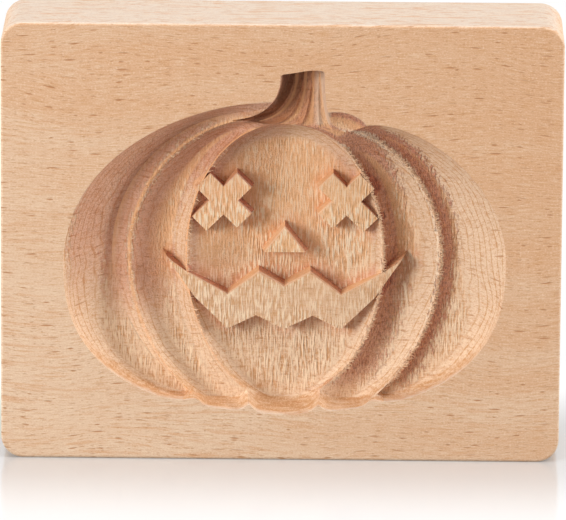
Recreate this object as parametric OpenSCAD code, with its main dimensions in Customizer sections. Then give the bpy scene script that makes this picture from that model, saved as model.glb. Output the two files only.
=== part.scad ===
// A wooden cookie stamp: one block of beech with a pumpkin face carved into its front.
// The block stands on its long edge. +X is to the right, +Z is up and the carved face looks towards -Y.
// The origin is at the middle of the edge that it stands on.

/* [Block] */
// Width of the block, left to right
block_w = 100; // [92:1:130]
// Height of the block as it stands on its long edge
block_h = 80; // [76:1:110]
// Thickness of the block, front to back
block_t = 20; // [14:0.5:30]
// Radius of the four corners, seen from the front
corner_r = 4; // [1.5:0.5:7]
// Radius that eases the edges of the front and back faces
edge_r = 0.5; // [0.2:0.1:1]

/* [Pumpkin outline] */
// Distance from the middle of the block to the carving's centre line, to the right
carving_x = 0.6; // [-2:0.1:2]
// Distance from the middle of the block down to the pumpkin's widest line
waist_drop = 3.4; // [2:0.1:5]
// Half the width of the pumpkin
outline_w = 39.5; // [37:0.2:43]
// Height of the pumpkin's crown above its widest line
outline_up = 29.4; // [28:0.2:31]
// Distance from the widest line down to the corners where the sides run into the bottom
outline_down = 27.9; // [27:0.1:29]
// Half the width of the bottom, between those corners
bottom_w = 18; // [17:0.1:19]
// Distance from the widest line down to the lowest point of the middle lobe
bottom_down = 28.2; // [26.5:0.1:30]
// Height of the two notches where a ridge runs out through the bottom edge
notch_h = 1.3; // [0.3:0.1:2]
// How far the right shoulder drops to the foot of the stem
shoulder_drop = 5; // [2:0.1:5.4]
// Distance from the centre line to the lowest place of the right shoulder
shoulder_x = 10.4; // [10:0.1:12]

/* [Lobe lines] */
// Half the width of the middle lobe, out to the ridge beside it
mid_ridge_w = 17.6; // [16:0.1:19]
// Half width out to the deepest line of the inner lobes
inner_floor_w = 21.6; // [20.6:0.1:23]
// Half width out to the ridge between the inner and the outer lobes
outer_ridge_w = 27.8; // [26.5:0.1:29.4]
// Half width out to the deepest line of the outer lobes
outer_floor_w = 31; // [30:0.1:33]
// Half width at which the ridge beside the middle lobe meets the bottom edge
mid_ridge_end = 6.2; // [5:0.1:8]
// Half width at which the ridge between inner and outer lobes meets the bottom edge
outer_ridge_end = 15.6; // [14:0.1:16]

/* [Lobe depths] */
// Depth of the middle lobe at the widest line
mid_depth = 9.4; // [8.8:0.1:10]
// Depth of the ridge beside the middle lobe
mid_ridge_depth = 5.6; // [5:0.1:6.4]
// Depth of the inner lobes
inner_depth = 9; // [8.2:0.1:9.6]
// Depth of the ridge between the inner and the outer lobes
outer_ridge_depth = 5.8; // [4.5:0.1:6.4]
// Depth of the outer lobes
outer_depth = 7.4; // [6.6:0.1:8]
// Depth that the middle lobe's ridge comes up to under the stem
crown_depth = 3; // [2.5:0.1:3.4]
// Depth of the middle lobe at the foot of the bottom wall
mid_foot_depth = 7.6; // [7:0.1:8.5]
// Depth of the ridge beside it there
mid_ridge_foot_depth = 4.5; // [3.8:0.1:5.2]
// Depth of the inner lobes there
inner_foot_depth = 6.4; // [5.7:0.1:7.2]
// Depth of the ridge between inner and outer lobes there
outer_ridge_foot_depth = 2.7; // [2:0.1:3.4]
// Depth of the outer lobes there
outer_foot_depth = 4.6; // [4:0.1:5.4]

/* [Face] */
// Depth of the flat tops of the eyes, the nose and the mouth
face_depth = 5.4; // [5:0.1:6.2]
// How far a wall of the face leans out from its top down to the lobe
face_draft = 0.35; // [0.2:0.05:0.8]
// Distance from the centre line to the middle of an eye
eye_x = 11; // [10:0.1:12]
// Height of the eyes above the pumpkin's widest line
eye_z = 9.9; // [9:0.1:11]
// Length of three of an eye's arms, from the middle of the cross
eye_arm_in = 5.2; // [4.5:0.1:5.8]
// Length of the arm that points down and away from the nose
eye_arm_out = 6.1; // [5.2:0.1:6.4]
// Width of the bars of an eye's cross
eye_bar_w = 3.6; // [3:0.1:4]
// Half the width of the nose
nose_w = 3.5; // [3:0.1:4]
// Height of the nose's lower edge above the pumpkin's widest line
nose_z = 0.5; // [0:0.1:1.2]
// Height of the nose
nose_h = 4.4; // [3.5:0.1:5]

/* [Mouth] */
// Half the width of the mouth, out to its corners
mouth_w = 20.8; // [20:0.1:21.6]
// Distance from the widest line down to the mouth's corners
mouth_corner_down = 1; // [0.6:0.1:1.5]
// Half width out to the outer teeth
tooth_w = 10.2; // [9.8:0.1:11]
// Distance from the widest line down to the points between the upper teeth
mouth_up_down = 3.3; // [3:0.1:3.8]
// Distance from the widest line down to the tips of the two outer upper teeth
upper_tooth_down = 7.4; // [7:0.1:7.8]
// Distance from the widest line down to the tips of the lower teeth
lower_tooth_down = 13.7; // [13.3:0.1:14.2]

/* [Stem] */
// Width of the stem at its cut end
stem_w = 8; // [7:0.1:9]
// Height of the stem's cut end above the pumpkin's widest line
stem_up = 34.3; // [33.5:0.1:35.5]
// Height of the stem's foot above the pumpkin's widest line
stem_foot_up = 23.4; // [23:0.1:24.4]
// How far the stem's foot spreads to the left
stem_spread_left = 12.5; // [8:0.5:14]
// How far the stem's foot spreads to the right
stem_spread_right = 4.4; // [2:0.1:5]
// Depth of the stem at its cut end
stem_depth = 6.4; // [5.5:0.1:8]
// Number of flutes along the stem
stem_flutes = 5; // [3:1:6]
// Height of the ridges between the flutes
flute_h = 0.9; // [0.3:0.1:1.2]
// Length of the small lobe behind the stem's right side
rear_lobe_l = 9.2; // [8:0.1:10]
// Width of that lobe
rear_lobe_w = 4.4; // [3:0.1:4.8]
// Depth of that lobe
rear_lobe_depth = 1.2; // [0.8:0.1:1.8]

/* [Hidden] */

// Steps of the mesh that the carving is made of
crown_rows = 26;
foot_rows = 22;
stem_rows = 18;
flute_columns = 4;

front_y = -block_t / 2;
waist_z = block_h / 2 - waist_drop;
clear = 1;
island_root = mid_depth + 0.6;

// Shape of the outline below its widest line: 2 is an ellipse, and more is squarer
outline_power = 2.5;
// How far the top of each lobe line lies below the pumpkin's crown
outer_floor_gap = 1.6;
outer_ridge_gap = 2.9;
inner_floor_gap = 3.9;
mid_ridge_gap = 4.9;
mid_floor_gap = 10.5;
// How far below the outline's corners each line would end, if it ran on to the centre line
outer_floor_run = 1.6;
outer_ridge_run = 3.3;
inner_floor_run = 3.6;
mid_ridge_run = -1.5;
// Run of the bottom wall below the middle lobe, and how much wider the lines are at its foot
wall_run = 1.3;
foot_splay = 0.8;
mid_foot_splay = 0.4;
// Distance between the outline's corner and the outer lobe's deepest line at the bottom edge
corner_inset = 1.2;
// Half width at which the deepest line of the inner lobe leaves through the bottom edge
inner_floor_end = (outer_ridge_end + mid_ridge_end) / 2;

// A lobe line: half width at the waist, reach up, reach down, half width at its foot, half width
// where it leaves through the bottom edge, depth at the waist, depth at the foot, share of the
// crown depth, share of the right shoulder's drop, and distance from the centre line, on the
// right, to where it gets deep
outline_line = [outline_w, outline_up, outline_down, bottom_w, bottom_w, 0, 0, 0, 1, 0];
outer_floor_line = [
    outer_floor_w, outline_up - outer_floor_gap, outline_down + outer_floor_run,
    bottom_w - foot_splay, bottom_w - corner_inset, outer_depth, outer_foot_depth,
    0.3, 0.55, shoulder_x
];
outer_ridge_line = [
    outer_ridge_w, outline_up - outer_ridge_gap, outline_down + outer_ridge_run,
    outer_ridge_end + foot_splay, outer_ridge_end, outer_ridge_depth, outer_ridge_foot_depth,
    0.5, 0, shoulder_x
];
inner_floor_line = [
    inner_floor_w, outline_up - inner_floor_gap, outline_down + inner_floor_run,
    inner_floor_end + foot_splay, inner_floor_end, inner_depth, inner_foot_depth,
    0.8, 0, shoulder_x - 1
];
mid_ridge_line = [
    mid_ridge_w, outline_up - mid_ridge_gap, outline_down + mid_ridge_run,
    mid_ridge_end + mid_foot_splay, mid_ridge_end, mid_ridge_depth, mid_ridge_foot_depth,
    1, 0, 0
];
mid_floor_line = [
    0, outline_up - mid_floor_gap, bottom_down - wall_run,
    0, 0, mid_depth, mid_foot_depth, mid_depth / crown_depth, 0, 0
];

// A strip between two lines: outer line, inner line, columns, spacing power, section power at the
// waist and at the foot, and whether it rises to a ridge. A higher power makes the side at the
// ridge or at the outline steeper and the floor flatter.
STRIPS = [
    [outline_line, outer_floor_line, 8, 1.8, 1.15, 6, false],
    [outer_floor_line, outer_ridge_line, 3, 1, 1.2, 1.4, true],
    [outer_ridge_line, inner_floor_line, 5, 1.4, 1.25, 2, false],
    [inner_floor_line, mid_ridge_line, 5, 0.7, 2.6, 1.4, true],
    [mid_ridge_line, mid_floor_line, 8, 1.6, 2, 2.6, false]
];

function mix(a, b, t) = a + (b - a) * t;

// Drop of the right shoulder at a half width
shoulder_reach = 5.4;
function shoulder(x) =
    shoulder_drop * (x < shoulder_x ? pow(x / shoulder_x, 2) : exp((shoulder_x - x) / shoulder_reach));

// Place of a line at q, which runs from 0 under the stem over 1 at the waist to 2 at the foot.
// Side is -1 on the left and 1 on the right.
function crown_place(line, q, side) =
    let (x = line[0] * sin(90 * q))
    [x, (line[1] - (side > 0 ? line[8] * shoulder(x) : 0)) * cos(90 * q)];
function line_place(line, power, q, side) =
    q <= 1 ? crown_place(line, q, side)
    : line[0] == 0 ? [0, -line[2] * sin(90 * (q - 1))]
    : let (
        a = acos(pow(line[3] / line[0], power / 2)) * (q - 1),
        x = line[0] * pow(cos(a), 2 / power)
    )
        [x, (line[8] == 1 ? outer_notch(x) : 0) - line[2] * pow(sin(a), 2 / power)];

// Depth of a line at q. It grows quickly from the crown, at a rate set by crown_ease, and then
// slowly. On the left it starts to grow nearer to the centre line, by left_share.
crown_ease = 0.12;
left_share = 0.3;
function crown_growth(line, q, side) =
    let (
        start = line[9] * (side > 0 ? 1 : left_share) / max(line[0], 1),
        s = pow(max(0, sin(90 * q) - start) / (1 - start), 2)
    )
    s * (1 + crown_ease) / (s + crown_ease);
function line_depth(line, q, side) =
    line[5] == 0 ? 0
    : q <= 1 ? mix(line[7] * crown_depth, line[5], crown_growth(line, q, side))
    : mix(line[6], line[5], cos(90 * (q - 1)));

// Depth across a strip at the share t of its width. Foot_ease delays the change of section
// towards the foot.
foot_ease = 1.5;
function strip_depth(strip, t, q, side) =
    let (
        a = line_depth(strip[0], q, side),
        b = line_depth(strip[1], q, side),
        n = mix(strip[4], strip[5], pow(max(0, q - 1), foot_ease)),
        bend = strip[6] ? pow(t, n) : pow(1 - pow(1 - t, n), 1 / n)
    )
    mix(a, b, bend);

function is_outer(strip) = strip[0][0] == outline_w;
function strip_power(strip) = is_outer(strip) ? outline_power : 2;

// Share of the way in height between a strip's lines: at the foot its floor stays low up to the ridge
function height_share(strip, t, q) =
    is_outer(strip) ? t
    : mix(t, strip[6] ? pow(t, 3) : 1 - pow(1 - t, 3), pow(max(0, q - 1), 3));

// A point of a strip above the bottom wall: half width, height over the waist and depth
function strip_point(strip, t, q, side) =
    let (
        a = line_place(strip[0], strip_power(strip), q, side),
        b = line_place(strip[1], 2, q, side)
    )
    [mix(a[0], b[0], t), mix(a[1], b[1], height_share(strip, t, q)), strip_depth(strip, t, q, side)];

// Height of the bottom edge over the waist at a half width. A ridge leaves a notch in it, which
// falls away at one rate towards the middle and at another towards the sides.
notch_reach = 1.1;
outer_notch_reach = 3.2;
outer_notch_share = 0.9;
edge_power = 1.3;
notch_power = 1.5;
function notch(x, at, outwards) =
    notch_h * exp(-pow(abs(x - at) / (x > at ? outwards : notch_reach), notch_power));
function outer_notch(x) = outer_notch_share * notch(x, outer_ridge_end, outer_notch_reach);
function corner_drop() = outline_down * pow(1 - pow(bottom_w / outline_w, outline_power), 1 / outline_power);
function bottom_edge(x) =
    -mix(bottom_down, corner_drop(), pow(x / bottom_w, edge_power))
    + notch(x, mid_ridge_end, notch_reach) + outer_notch(x);

// The bottom wall, as shares of its run out to the edge and of its depth
WALL = [[0.12, 0.985], [0.3, 0.92], [0.45, 0.78], [0.7, 0.45], [1, 0]];

function wall_point(strip, t, step) =
    let (
        foot = strip_point(strip, t, 2, 0),
        edge_x = mix(strip[0][4], strip[1][4], t),
        edge = [edge_x, bottom_edge(edge_x)]
    )
    [mix(foot[0], edge[0], step[0]), mix(foot[1], edge[1], step[0]), foot[2] * step[1]];

// Columns of one half, from the outline in to the centre line
COLUMNS = [
    for (s = STRIPS) for (i = [0:s[2] - 1]) [s, pow(i / s[2], s[3])],
    [STRIPS[4], 1]
];
half = len(COLUMNS) - 1;
rows = crown_rows + foot_rows;
last_row = rows + len(WALL);

function grid_point(row, column) =
    let (
        c = COLUMNS[column <= half ? column : 2 * half - column],
        q = row <= crown_rows ? row / crown_rows : 1 + (row - crown_rows) / foot_rows,
        side = column <= half ? -1 : 1,
        p = row <= rows ? strip_point(c[0], c[1], q, side) : wall_point(c[0], c[1], WALL[row - rows - 1])
    )
    [carving_x + side * p[0], front_y + p[2], waist_z + p[1]];

// A closed solid in front of a surface: points of the surface, its triangles, its rim in order,
// and the middle of the flat lid that closes it in front of the block
module gouge(points, surface, rim, middle) {
    first = len(points);
    n = len(rim);
    lid = [for (i = rim) [points[i][0], front_y - clear, points[i][2]]];
    sides = [
        for (i = [0:n - 1]) let (j = (i + 1) % n)
            each [
                [rim[i], first + i, first + j],
                [rim[i], first + j, rim[j]],
                [first + i, first + n, first + j]
            ]
    ];
    polyhedron(
        points = concat(points, lid, [[middle[0], front_y - clear, middle[1]]]),
        faces = [for (f = concat(surface, sides)) if (f[0] != f[1] && f[1] != f[2] && f[0] != f[2]) f]
    );
}

// The five lobes as one surface. Its first row folds shut on itself under the stem.
module lobes() {
    across = 2 * half + 1;
    function at(r, c) = r == 0 ? (c <= half ? c : 2 * half - c) : half + 1 + (r - 1) * across + c;
    gouge(
        points = concat(
            [for (c = [0:half]) grid_point(0, c)],
            [for (r = [1:last_row]) for (c = [0:2 * half]) grid_point(r, c)]
        ),
        surface = [
            for (r = [0:last_row - 1]) for (c = [0:2 * half - 1])
                each [[at(r, c), at(r + 1, c), at(r + 1, c + 1)], [at(r, c), at(r + 1, c + 1), at(r, c + 1)]]
        ],
        rim = concat(
            [for (r = [0:last_row - 1]) at(r, 0)],
            [for (c = [0:2 * half]) at(last_row, c)],
            [for (r = [last_row - 1:-1:1]) at(r, 2 * half)]
        ),
        middle = [carving_x, waist_z]
    );
}

// The stem: u runs from its left side to its right side, and v from its cut end down to its foot.
// Its sides bend outwards towards the foot, the left one early and the right one late.
stem_left_share = 0.13;
left_bend = 2.2;
right_bend = 2.4;
function stem_left(v) = -stem_left_share * stem_w - stem_spread_left * pow(v, left_bend);
function stem_right(v) = (1 - stem_left_share) * stem_w + stem_spread_right * pow(v, right_bend);
// The flutes crowd towards the right side at the cut end, and even out towards the foot
end_crowding = 0.65;
function stem_share(u, v) = pow(u, mix(end_crowding, 1, v));
// The cut end slopes up to the right, its two corners are round, and the foot slopes down to the right
end_slope = 0.8;
end_corner = 0.45;
end_corner_share = 0.1;
foot_slope = 1.8;
function rounding(share) = end_corner * pow(1 - min(1, share / end_corner_share), 2);
function stem_top(u) = stem_up + end_slope * sin(130 * u) - rounding(stem_share(u, 0)) - rounding(1 - u);
function stem_foot(u) = stem_foot_up + foot_slope * (1 - u);
// Depth across the stem, as a share: a steep left wall, and a floor that rises to the right
left_wall = 0.1;
right_wall = 0.08;
right_rise = 0.5;
function stem_section(u) =
    u < left_wall ? sin(90 * u / left_wall)
    : mix(1, right_rise, (u - left_wall) / (1 - left_wall)) * sqrt(min(1, (1 - u) / right_wall));
// Depth of the stem where it runs out over the lobes
function foot_depth() = crown_depth + flute_h;
// Shares of the stem's length that its steep end wall, its round foot and the flutes' fade take
end_wall = 0.06;
foot_wall = 0.12;
flute_fade = 0.3;
floor_bend = 1.3;
function flute(u, v) =
    flute_h * min(1, v / flute_fade) * pow(1 - abs(sin(180 * stem_flutes * u)), floor_bend);
function stem_point(u, v) =
    let (
        floor_depth = mix(stem_depth, foot_depth(), pow(v, floor_bend)),
        end = sqrt(min(1, v / end_wall, (1 - v) / foot_wall)),
        depth = max(0, floor_depth - flute(u, v)) * stem_section(u) * end
    )
    [
        carving_x + mix(stem_left(v), stem_right(v), stem_share(u, v)),
        front_y + depth,
        waist_z + mix(stem_top(u), stem_foot(u), sin(90 * v))
    ];

module stem() {
    columns = stem_flutes * flute_columns;
    across = columns + 1;
    function at(r, c) = r * across + c;
    function row_share(r) = r < 3 ? end_wall * r * r / 4 : mix(end_wall, 1, (r - 2) / (stem_rows - 2));
    gouge(
        points = [for (r = [0:stem_rows]) for (c = [0:columns]) stem_point(c / columns, row_share(r))],
        surface = [
            for (r = [0:stem_rows - 1]) for (c = [0:columns - 1])
                each [[at(r, c), at(r + 1, c), at(r + 1, c + 1)], [at(r, c), at(r + 1, c + 1), at(r, c + 1)]]
        ],
        rim = concat(
            [for (r = [0:stem_rows - 1]) at(r, 0)],
            [for (c = [0:columns]) at(stem_rows, c)],
            [for (r = [stem_rows - 1:-1:0]) at(r, columns)],
            [for (c = [columns - 1:-1:1]) at(0, c)]
        ),
        middle = [carving_x + stem_w / 2, waist_z + (stem_up + stem_foot_up) / 2]
    );
}

// A hollow shaped like a boat: centre, tilt, length, width and depth, from a level below the face
module boat(centre, tilt, length, width, depth, level) {
    across = (width * width / 4 + depth * depth) / (2 * depth);
    along = (length * length / 4 + depth * depth) / (2 * depth);
    translate([carving_x + centre[0], front_y + level + depth - across, waist_z + centre[1]])
        rotate([0, 90 - tilt, 0]) rotate_extrude($fn = 48) intersection() {
            translate([across - along, 0]) circle(r = along, $fn = 96);
            translate([0, -length]) square([length, 2 * length]);
        }
}

// The small lobe that shows behind the stem's right side, placed from the foot of the stem
rear_lobe_x = 10.2;
rear_lobe_rise = 1.9;
rear_lobe_tilt = -12;
module rear_lobe() {
    boat(
        [rear_lobe_x, stem_foot_up + rear_lobe_rise], rear_lobe_tilt,
        rear_lobe_l, rear_lobe_w, rear_lobe_depth, 0
    );
}

// The short cut in the stem's last flute
cut_x = 6.6;
cut_rise = 1.5;
cut_tilt = 80;
cut_l = 3.4;
cut_w = 1;
cut_depth = 0.9;
cut_level = 1.7;
module stem_cut() {
    boat([cut_x, stem_foot_up + cut_rise], cut_tilt, cut_l, cut_w, cut_depth, cut_level);
}

// A raised shape of the face, with walls that lean out from its flat top down into the wood.
// Upper and lower are its two edges from left to right, which share their first and last points.
function wall_normal(a, b) = let (d = b - a) [-d[1], d[0]] / norm(d);
function pushed(before, p, after, run) =
    let (m = wall_normal(before, p), n = wall_normal(p, after))
    p + (m + n) * run / (1 + m * n);

module raised(upper, lower) {
    last = len(upper) - 1;
    loop = concat(upper, [for (i = [last - 1:-1:1]) lower[i]]);
    n = len(loop);
    run = face_draft * (island_root - face_depth) / (mid_depth - face_depth);
    root = [for (i = [0:n - 1]) pushed(loop[(i + n - 1) % n], loop[i], loop[(i + 1) % n], run)];
    function below(i) = i == 0 || i == last ? i : n - i;
    flat = concat(
        [for (i = [1:last - 1]) [i, i + 1, below(i)]],
        [for (i = [0:last - 2]) [i + 1, below(i + 1), below(i)]]
    );
    polyhedron(
        points = concat(
            [for (p = loop) [carving_x + p[0], front_y + face_depth, waist_z + p[1]]],
            [for (p = root) [carving_x + p[0], front_y + island_root, waist_z + p[1]]]
        ),
        faces = concat(
            flat,
            [for (f = flat) [f[2] + n, f[1] + n, f[0] + n]],
            [for (i = [0:n - 1]) let (j = (i + 1) % n) each [[j, i, n + i], [j, n + i, n + j]]]
        )
    );
}

// One bar of an eye's cross, which points at an angle and reaches further to one end
module eye_bar(x, angle, back, ahead) {
    along = [cos(angle), sin(angle)];
    over = [-sin(angle), cos(angle)] * eye_bar_w / 2;
    start = [x, eye_z] - along * back;
    end = [x, eye_z] + along * ahead;
    raised(
        upper = [start - over, start + over, end + over],
        lower = [start - over, end - over, end + over]
    );
}

module eyes() {
    eye_bar(-eye_x, -45, eye_arm_in, eye_arm_in);
    eye_bar(-eye_x, 45, eye_arm_out, eye_arm_in);
    eye_bar(eye_x, -45, eye_arm_in, eye_arm_out);
    eye_bar(eye_x, 45, eye_arm_in, eye_arm_in);
}

module nose() {
    raised(
        upper = [[-nose_w, nose_z], [0, nose_z + nose_h], [nose_w, nose_z]],
        lower = [[-nose_w, nose_z], [0, nose_z], [nose_w, nose_z]]
    );
}

// The right half of the mouth's edges, from the middle out to the corner
middle_tooth_down = mouth_up_down + 2.6;
mouth_peak_down = lower_tooth_down - 2.5;
jaw_bend_down = lower_tooth_down - 5.9;
mouth_bend_w = mouth_w - 3.3;
mouth_upper = [
    [0, -middle_tooth_down], [tooth_w / 2 - 0.5, -mouth_up_down],
    [tooth_w, -upper_tooth_down], [mouth_bend_w, -mouth_up_down]
];
mouth_lower = [
    [0, -lower_tooth_down], [tooth_w / 2, -mouth_peak_down],
    [tooth_w, -lower_tooth_down], [mouth_bend_w - 1.3, -jaw_bend_down]
];
function mirrored(edge) = concat(
    [[-mouth_w, -mouth_corner_down]],
    [for (i = [len(edge) - 1:-1:1]) [-edge[i][0], edge[i][1]]],
    edge,
    [[mouth_w, -mouth_corner_down]]
);
module mouth() {
    raised(upper = mirrored(mouth_upper), lower = mirrored(mouth_lower));
}

// The uncut block, with round corners and eased edges
module edge_section(width) {
    square([width - 2 * edge_r, block_t], center = true);
    square([width, block_t - 2 * edge_r], center = true);
    for (x = [-1, 1]) for (y = [-1, 1])
        translate([x * (width / 2 - edge_r), y * (block_t / 2 - edge_r)]) circle(r = edge_r, $fn = 24);
}
module blank() {
    translate([0, 0, corner_r]) linear_extrude(block_h - 2 * corner_r) edge_section(block_w);
    translate([corner_r - block_w / 2, 0, block_h / 2])
        rotate([90, 0, 90]) linear_extrude(block_w - 2 * corner_r) rotate(90) edge_section(block_h);
    for (x = [-1, 1]) for (z = [corner_r, block_h - corner_r])
        translate([x * (block_w / 2 - corner_r), 0, z]) rotate([90, 0, 0])
            rotate_extrude($fn = 64) intersection() {
                edge_section(2 * corner_r);
                translate([0, -block_t]) square([2 * corner_r, 2 * block_t]);
            }
}

module stamp_block() {
    color("burlywood") difference() {
        blank();
        difference() {
            lobes();
            eyes();
            nose();
            mouth();
        }
        stem();
        stem_cut();
        rear_lobe();
    }
}

stamp_block();
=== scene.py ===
"""Looks for a wooden cookie stamp: a beech block with a pumpkin face carved into its front.

The block stands on its long edge and the carved face looks towards -Y. All sizes are in metres.
"""

import math
from collections import namedtuple
from contextlib import contextmanager
from functools import reduce
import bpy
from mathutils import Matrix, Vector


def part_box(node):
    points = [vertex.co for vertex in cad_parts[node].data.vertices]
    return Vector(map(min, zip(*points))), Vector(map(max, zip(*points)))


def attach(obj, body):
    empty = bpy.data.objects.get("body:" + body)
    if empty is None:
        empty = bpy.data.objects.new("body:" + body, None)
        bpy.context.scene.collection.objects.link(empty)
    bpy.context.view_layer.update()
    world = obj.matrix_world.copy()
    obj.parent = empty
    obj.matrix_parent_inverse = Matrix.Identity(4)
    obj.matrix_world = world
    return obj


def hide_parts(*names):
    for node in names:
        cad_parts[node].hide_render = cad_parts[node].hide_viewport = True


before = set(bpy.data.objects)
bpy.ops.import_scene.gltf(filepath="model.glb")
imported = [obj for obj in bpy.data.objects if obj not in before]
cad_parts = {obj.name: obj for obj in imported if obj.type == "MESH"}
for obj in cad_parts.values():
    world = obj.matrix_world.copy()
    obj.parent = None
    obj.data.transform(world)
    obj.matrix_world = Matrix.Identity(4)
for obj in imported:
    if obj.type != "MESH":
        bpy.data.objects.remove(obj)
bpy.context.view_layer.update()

from types import SimpleNamespace

import bmesh
import bpy
from mathutils import Matrix, Vector
from mathutils.bvhtree import BVHTree
from mathutils.kdtree import KDTree

bl_info = {
    "name": "Carved Cookie Stamp",
    "version": (1, 0, 0),
    "blender": (4, 5, 0),
    "location": "3D View > Sidebar > Cookie Stamp",
    "description": "Builds a carved beech cookie stamp over its packed frame",
    "category": "Object",
}

MM = 0.001
# Two places that lie this close count as the same
TOUCH = 0.001 * MM
BLOCK_LOW, BLOCK_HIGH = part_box("stamp_block")
BLOCK_SIZE = BLOCK_HIGH - BLOCK_LOW
FRONT_Y = BLOCK_LOW.y


# Properties


def length(name, value, description):
    """A length property whose default is given in millimetres."""
    return bpy.props.FloatProperty(
        name=name, description=description, default=value * MM, unit="LENGTH", precision=5
    )


def share(name, value, description, high=1.0):
    """A plain number between nought and a highest value."""
    return bpy.props.FloatProperty(
        name=name, description=description, default=value, min=0.0, max=high
    )


def count(name, value, description):
    """A whole number."""
    return bpy.props.IntProperty(name=name, description=description, default=value, min=1)


def colour(name, value, description):
    """A colour, as linear red, green and blue."""
    return bpy.props.FloatVectorProperty(
        name=name, description=description, default=value, size=3, subtype="COLOR", min=0, max=1
    )


class StampBlockSettings(bpy.types.PropertyGroup):
    """Sizes of the uncut block. Its width, height and thickness come from the frame."""

    corner_r: length("Corner radius", 4, "Radius of the four corners, seen from the front")
    edge_r: length("Edge radius", 0.5, "Radius that eases the edges of the front and back")
    support: length("Support loop", 0.3, "Distance of the loops that keep the faces flat")
    corner_steps: count("Corner steps", 14, "Segments of a corner")
    edge_steps: count("Edge steps", 5, "Segments of an eased edge")


class StampLobeSettings(bpy.types.PropertyGroup):
    """Lines and depths of the pumpkin's five lobes, measured from its widest line."""

    carving_x: length("Centre", 0.6, "Distance from the middle of the block to the carving's")
    waist_drop: length("Widest line", 3.4, "From the middle of the block down to the widest line")
    outline_w: length("Half width", 39.5, "Half the width of the pumpkin")
    outline_up: length("Crown height", 29.4, "Height of the crown above the widest line")
    outline_down: length("Side corners", 27.9, "Down to where the sides run into the bottom")
    bottom_w: length("Bottom", 18, "Half the width of the bottom")
    bottom_down: length("Bottom drop", 28.2, "Down to the lowest point of the middle lobe")
    notch_h: length("Notch", 1.3, "Height of the notches where a ridge leaves the bottom edge")
    shoulder_drop: length("Shoulder drop", 5, "Drop of the right shoulder to the stem's foot")
    shoulder_x: length("Shoulder place", 10.4, "From the centre line to the shoulder's low place")
    mid_ridge_w: length("Middle ridge", 17.6, "Half width of the middle lobe")
    inner_floor_w: length("Inner floor", 21.6, "Half width to the inner lobes' deepest line")
    outer_ridge_w: length("Outer ridge", 27.8, "Half width to the ridge beside the outer lobes")
    outer_floor_w: length("Outer floor", 31, "Half width to the outer lobes' deepest line")
    mid_ridge_end: length("Middle ridge end", 6.2, "Half width where that ridge ends below")
    outer_ridge_end: length("Outer ridge end", 15.6, "Half width where that ridge ends below")
    mid_depth: length("Middle depth", 9.4, "Depth of the middle lobe")
    mid_ridge_depth: length("Middle ridge depth", 5.6, "Depth of the ridge beside it")
    inner_depth: length("Inner depth", 9, "Depth of the inner lobes")
    outer_ridge_depth: length("Outer ridge depth", 5.8, "Depth of the outer ridges")
    outer_depth: length("Outer depth", 7.4, "Depth of the outer lobes")
    crown_depth: length("Crown depth", 3, "Depth of the middle lobe's ridge under the stem")
    mid_foot: length("Middle foot", 7.6, "Depth of the middle lobe at the bottom wall")
    mid_ridge_foot: length("Middle ridge foot", 4.5, "Depth of the ridge beside it there")
    inner_foot: length("Inner foot", 6.4, "Depth of the inner lobes there")
    outer_ridge_foot: length("Outer ridge foot", 2.7, "Depth of the outer ridges there")
    outer_foot: length("Outer foot", 4.6, "Depth of the outer lobes there")
    crown_rows: count("Crown rows", 84, "Rows of the mesh above the widest line")
    foot_rows: count("Foot rows", 66, "Rows of the mesh below the widest line")
    wall_rows: count("Wall rows", 8, "Rows of the mesh down the bottom wall")


class StampFaceSettings(bpy.types.PropertyGroup):
    """The raised eyes, nose and mouth, measured from the pumpkin's widest line."""

    face_depth: length("Face depth", 5.4, "Depth of the flat tops of the face")
    face_draft: length("Draft", 0.35, "How far a wall of the face leans out down to the lobe")
    eye_x: length("Eye place", 11, "From the centre line to the middle of an eye")
    eye_z: length("Eye height", 9.9, "Height of the eyes")
    eye_arm_in: length("Short arm", 5.2, "Length of three of an eye's arms")
    eye_arm_out: length("Long arm", 6.1, "Length of the arm down and away from the nose")
    eye_bar_w: length("Bar width", 3.6, "Width of the bars of an eye's cross")
    nose_w: length("Nose", 3.5, "Half the width of the nose")
    nose_z: length("Nose height", 0.5, "Height of the nose's lower edge")
    nose_h: length("Nose rise", 4.4, "Height of the nose itself")
    mouth_w: length("Mouth", 20.8, "Half the width of the mouth, out to its corners")
    mouth_corner_down: length("Mouth corner", 1, "Down to the mouth's corners")
    tooth_w: length("Teeth", 10.2, "Half width out to the outer teeth")
    mouth_up_down: length("Upper points", 3.3, "Down to the points between the upper teeth")
    upper_tooth_down: length("Upper teeth", 7.4, "Down to the tips of the outer upper teeth")
    lower_tooth_down: length("Lower teeth", 13.7, "Down to the tips of the lower teeth")


class StampStemSettings(bpy.types.PropertyGroup):
    """The fluted stem, the short cut in it and the small lobe behind it."""

    stem_w: length("Stem width", 8, "Width of the stem at its cut end")
    stem_up: length("Stem height", 34.3, "Height of the cut end above the widest line")
    stem_foot_up: length("Stem foot", 23.4, "Height of the stem's foot above the widest line")
    spread_left: length("Left spread", 12.5, "How far the foot spreads to the left")
    spread_right: length("Right spread", 4.4, "How far the foot spreads to the right")
    stem_depth: length("Stem depth", 6.4, "Depth of the stem at its cut end")
    flute_h: length("Flute height", 0.9, "Height of the ridges between the flutes")
    flutes: count("Flutes", 5, "Number of flutes along the stem")
    columns: count("Flute columns", 14, "Columns of the mesh in one flute")
    rows: count("Stem rows", 60, "Rows of the mesh along the stem")
    rear_l: length("Rear lobe length", 9.2, "Length of the small lobe behind the stem")
    rear_w: length("Rear lobe width", 4.4, "Width of that lobe")
    rear_depth: length("Rear lobe depth", 1.2, "Depth of that lobe")


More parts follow.
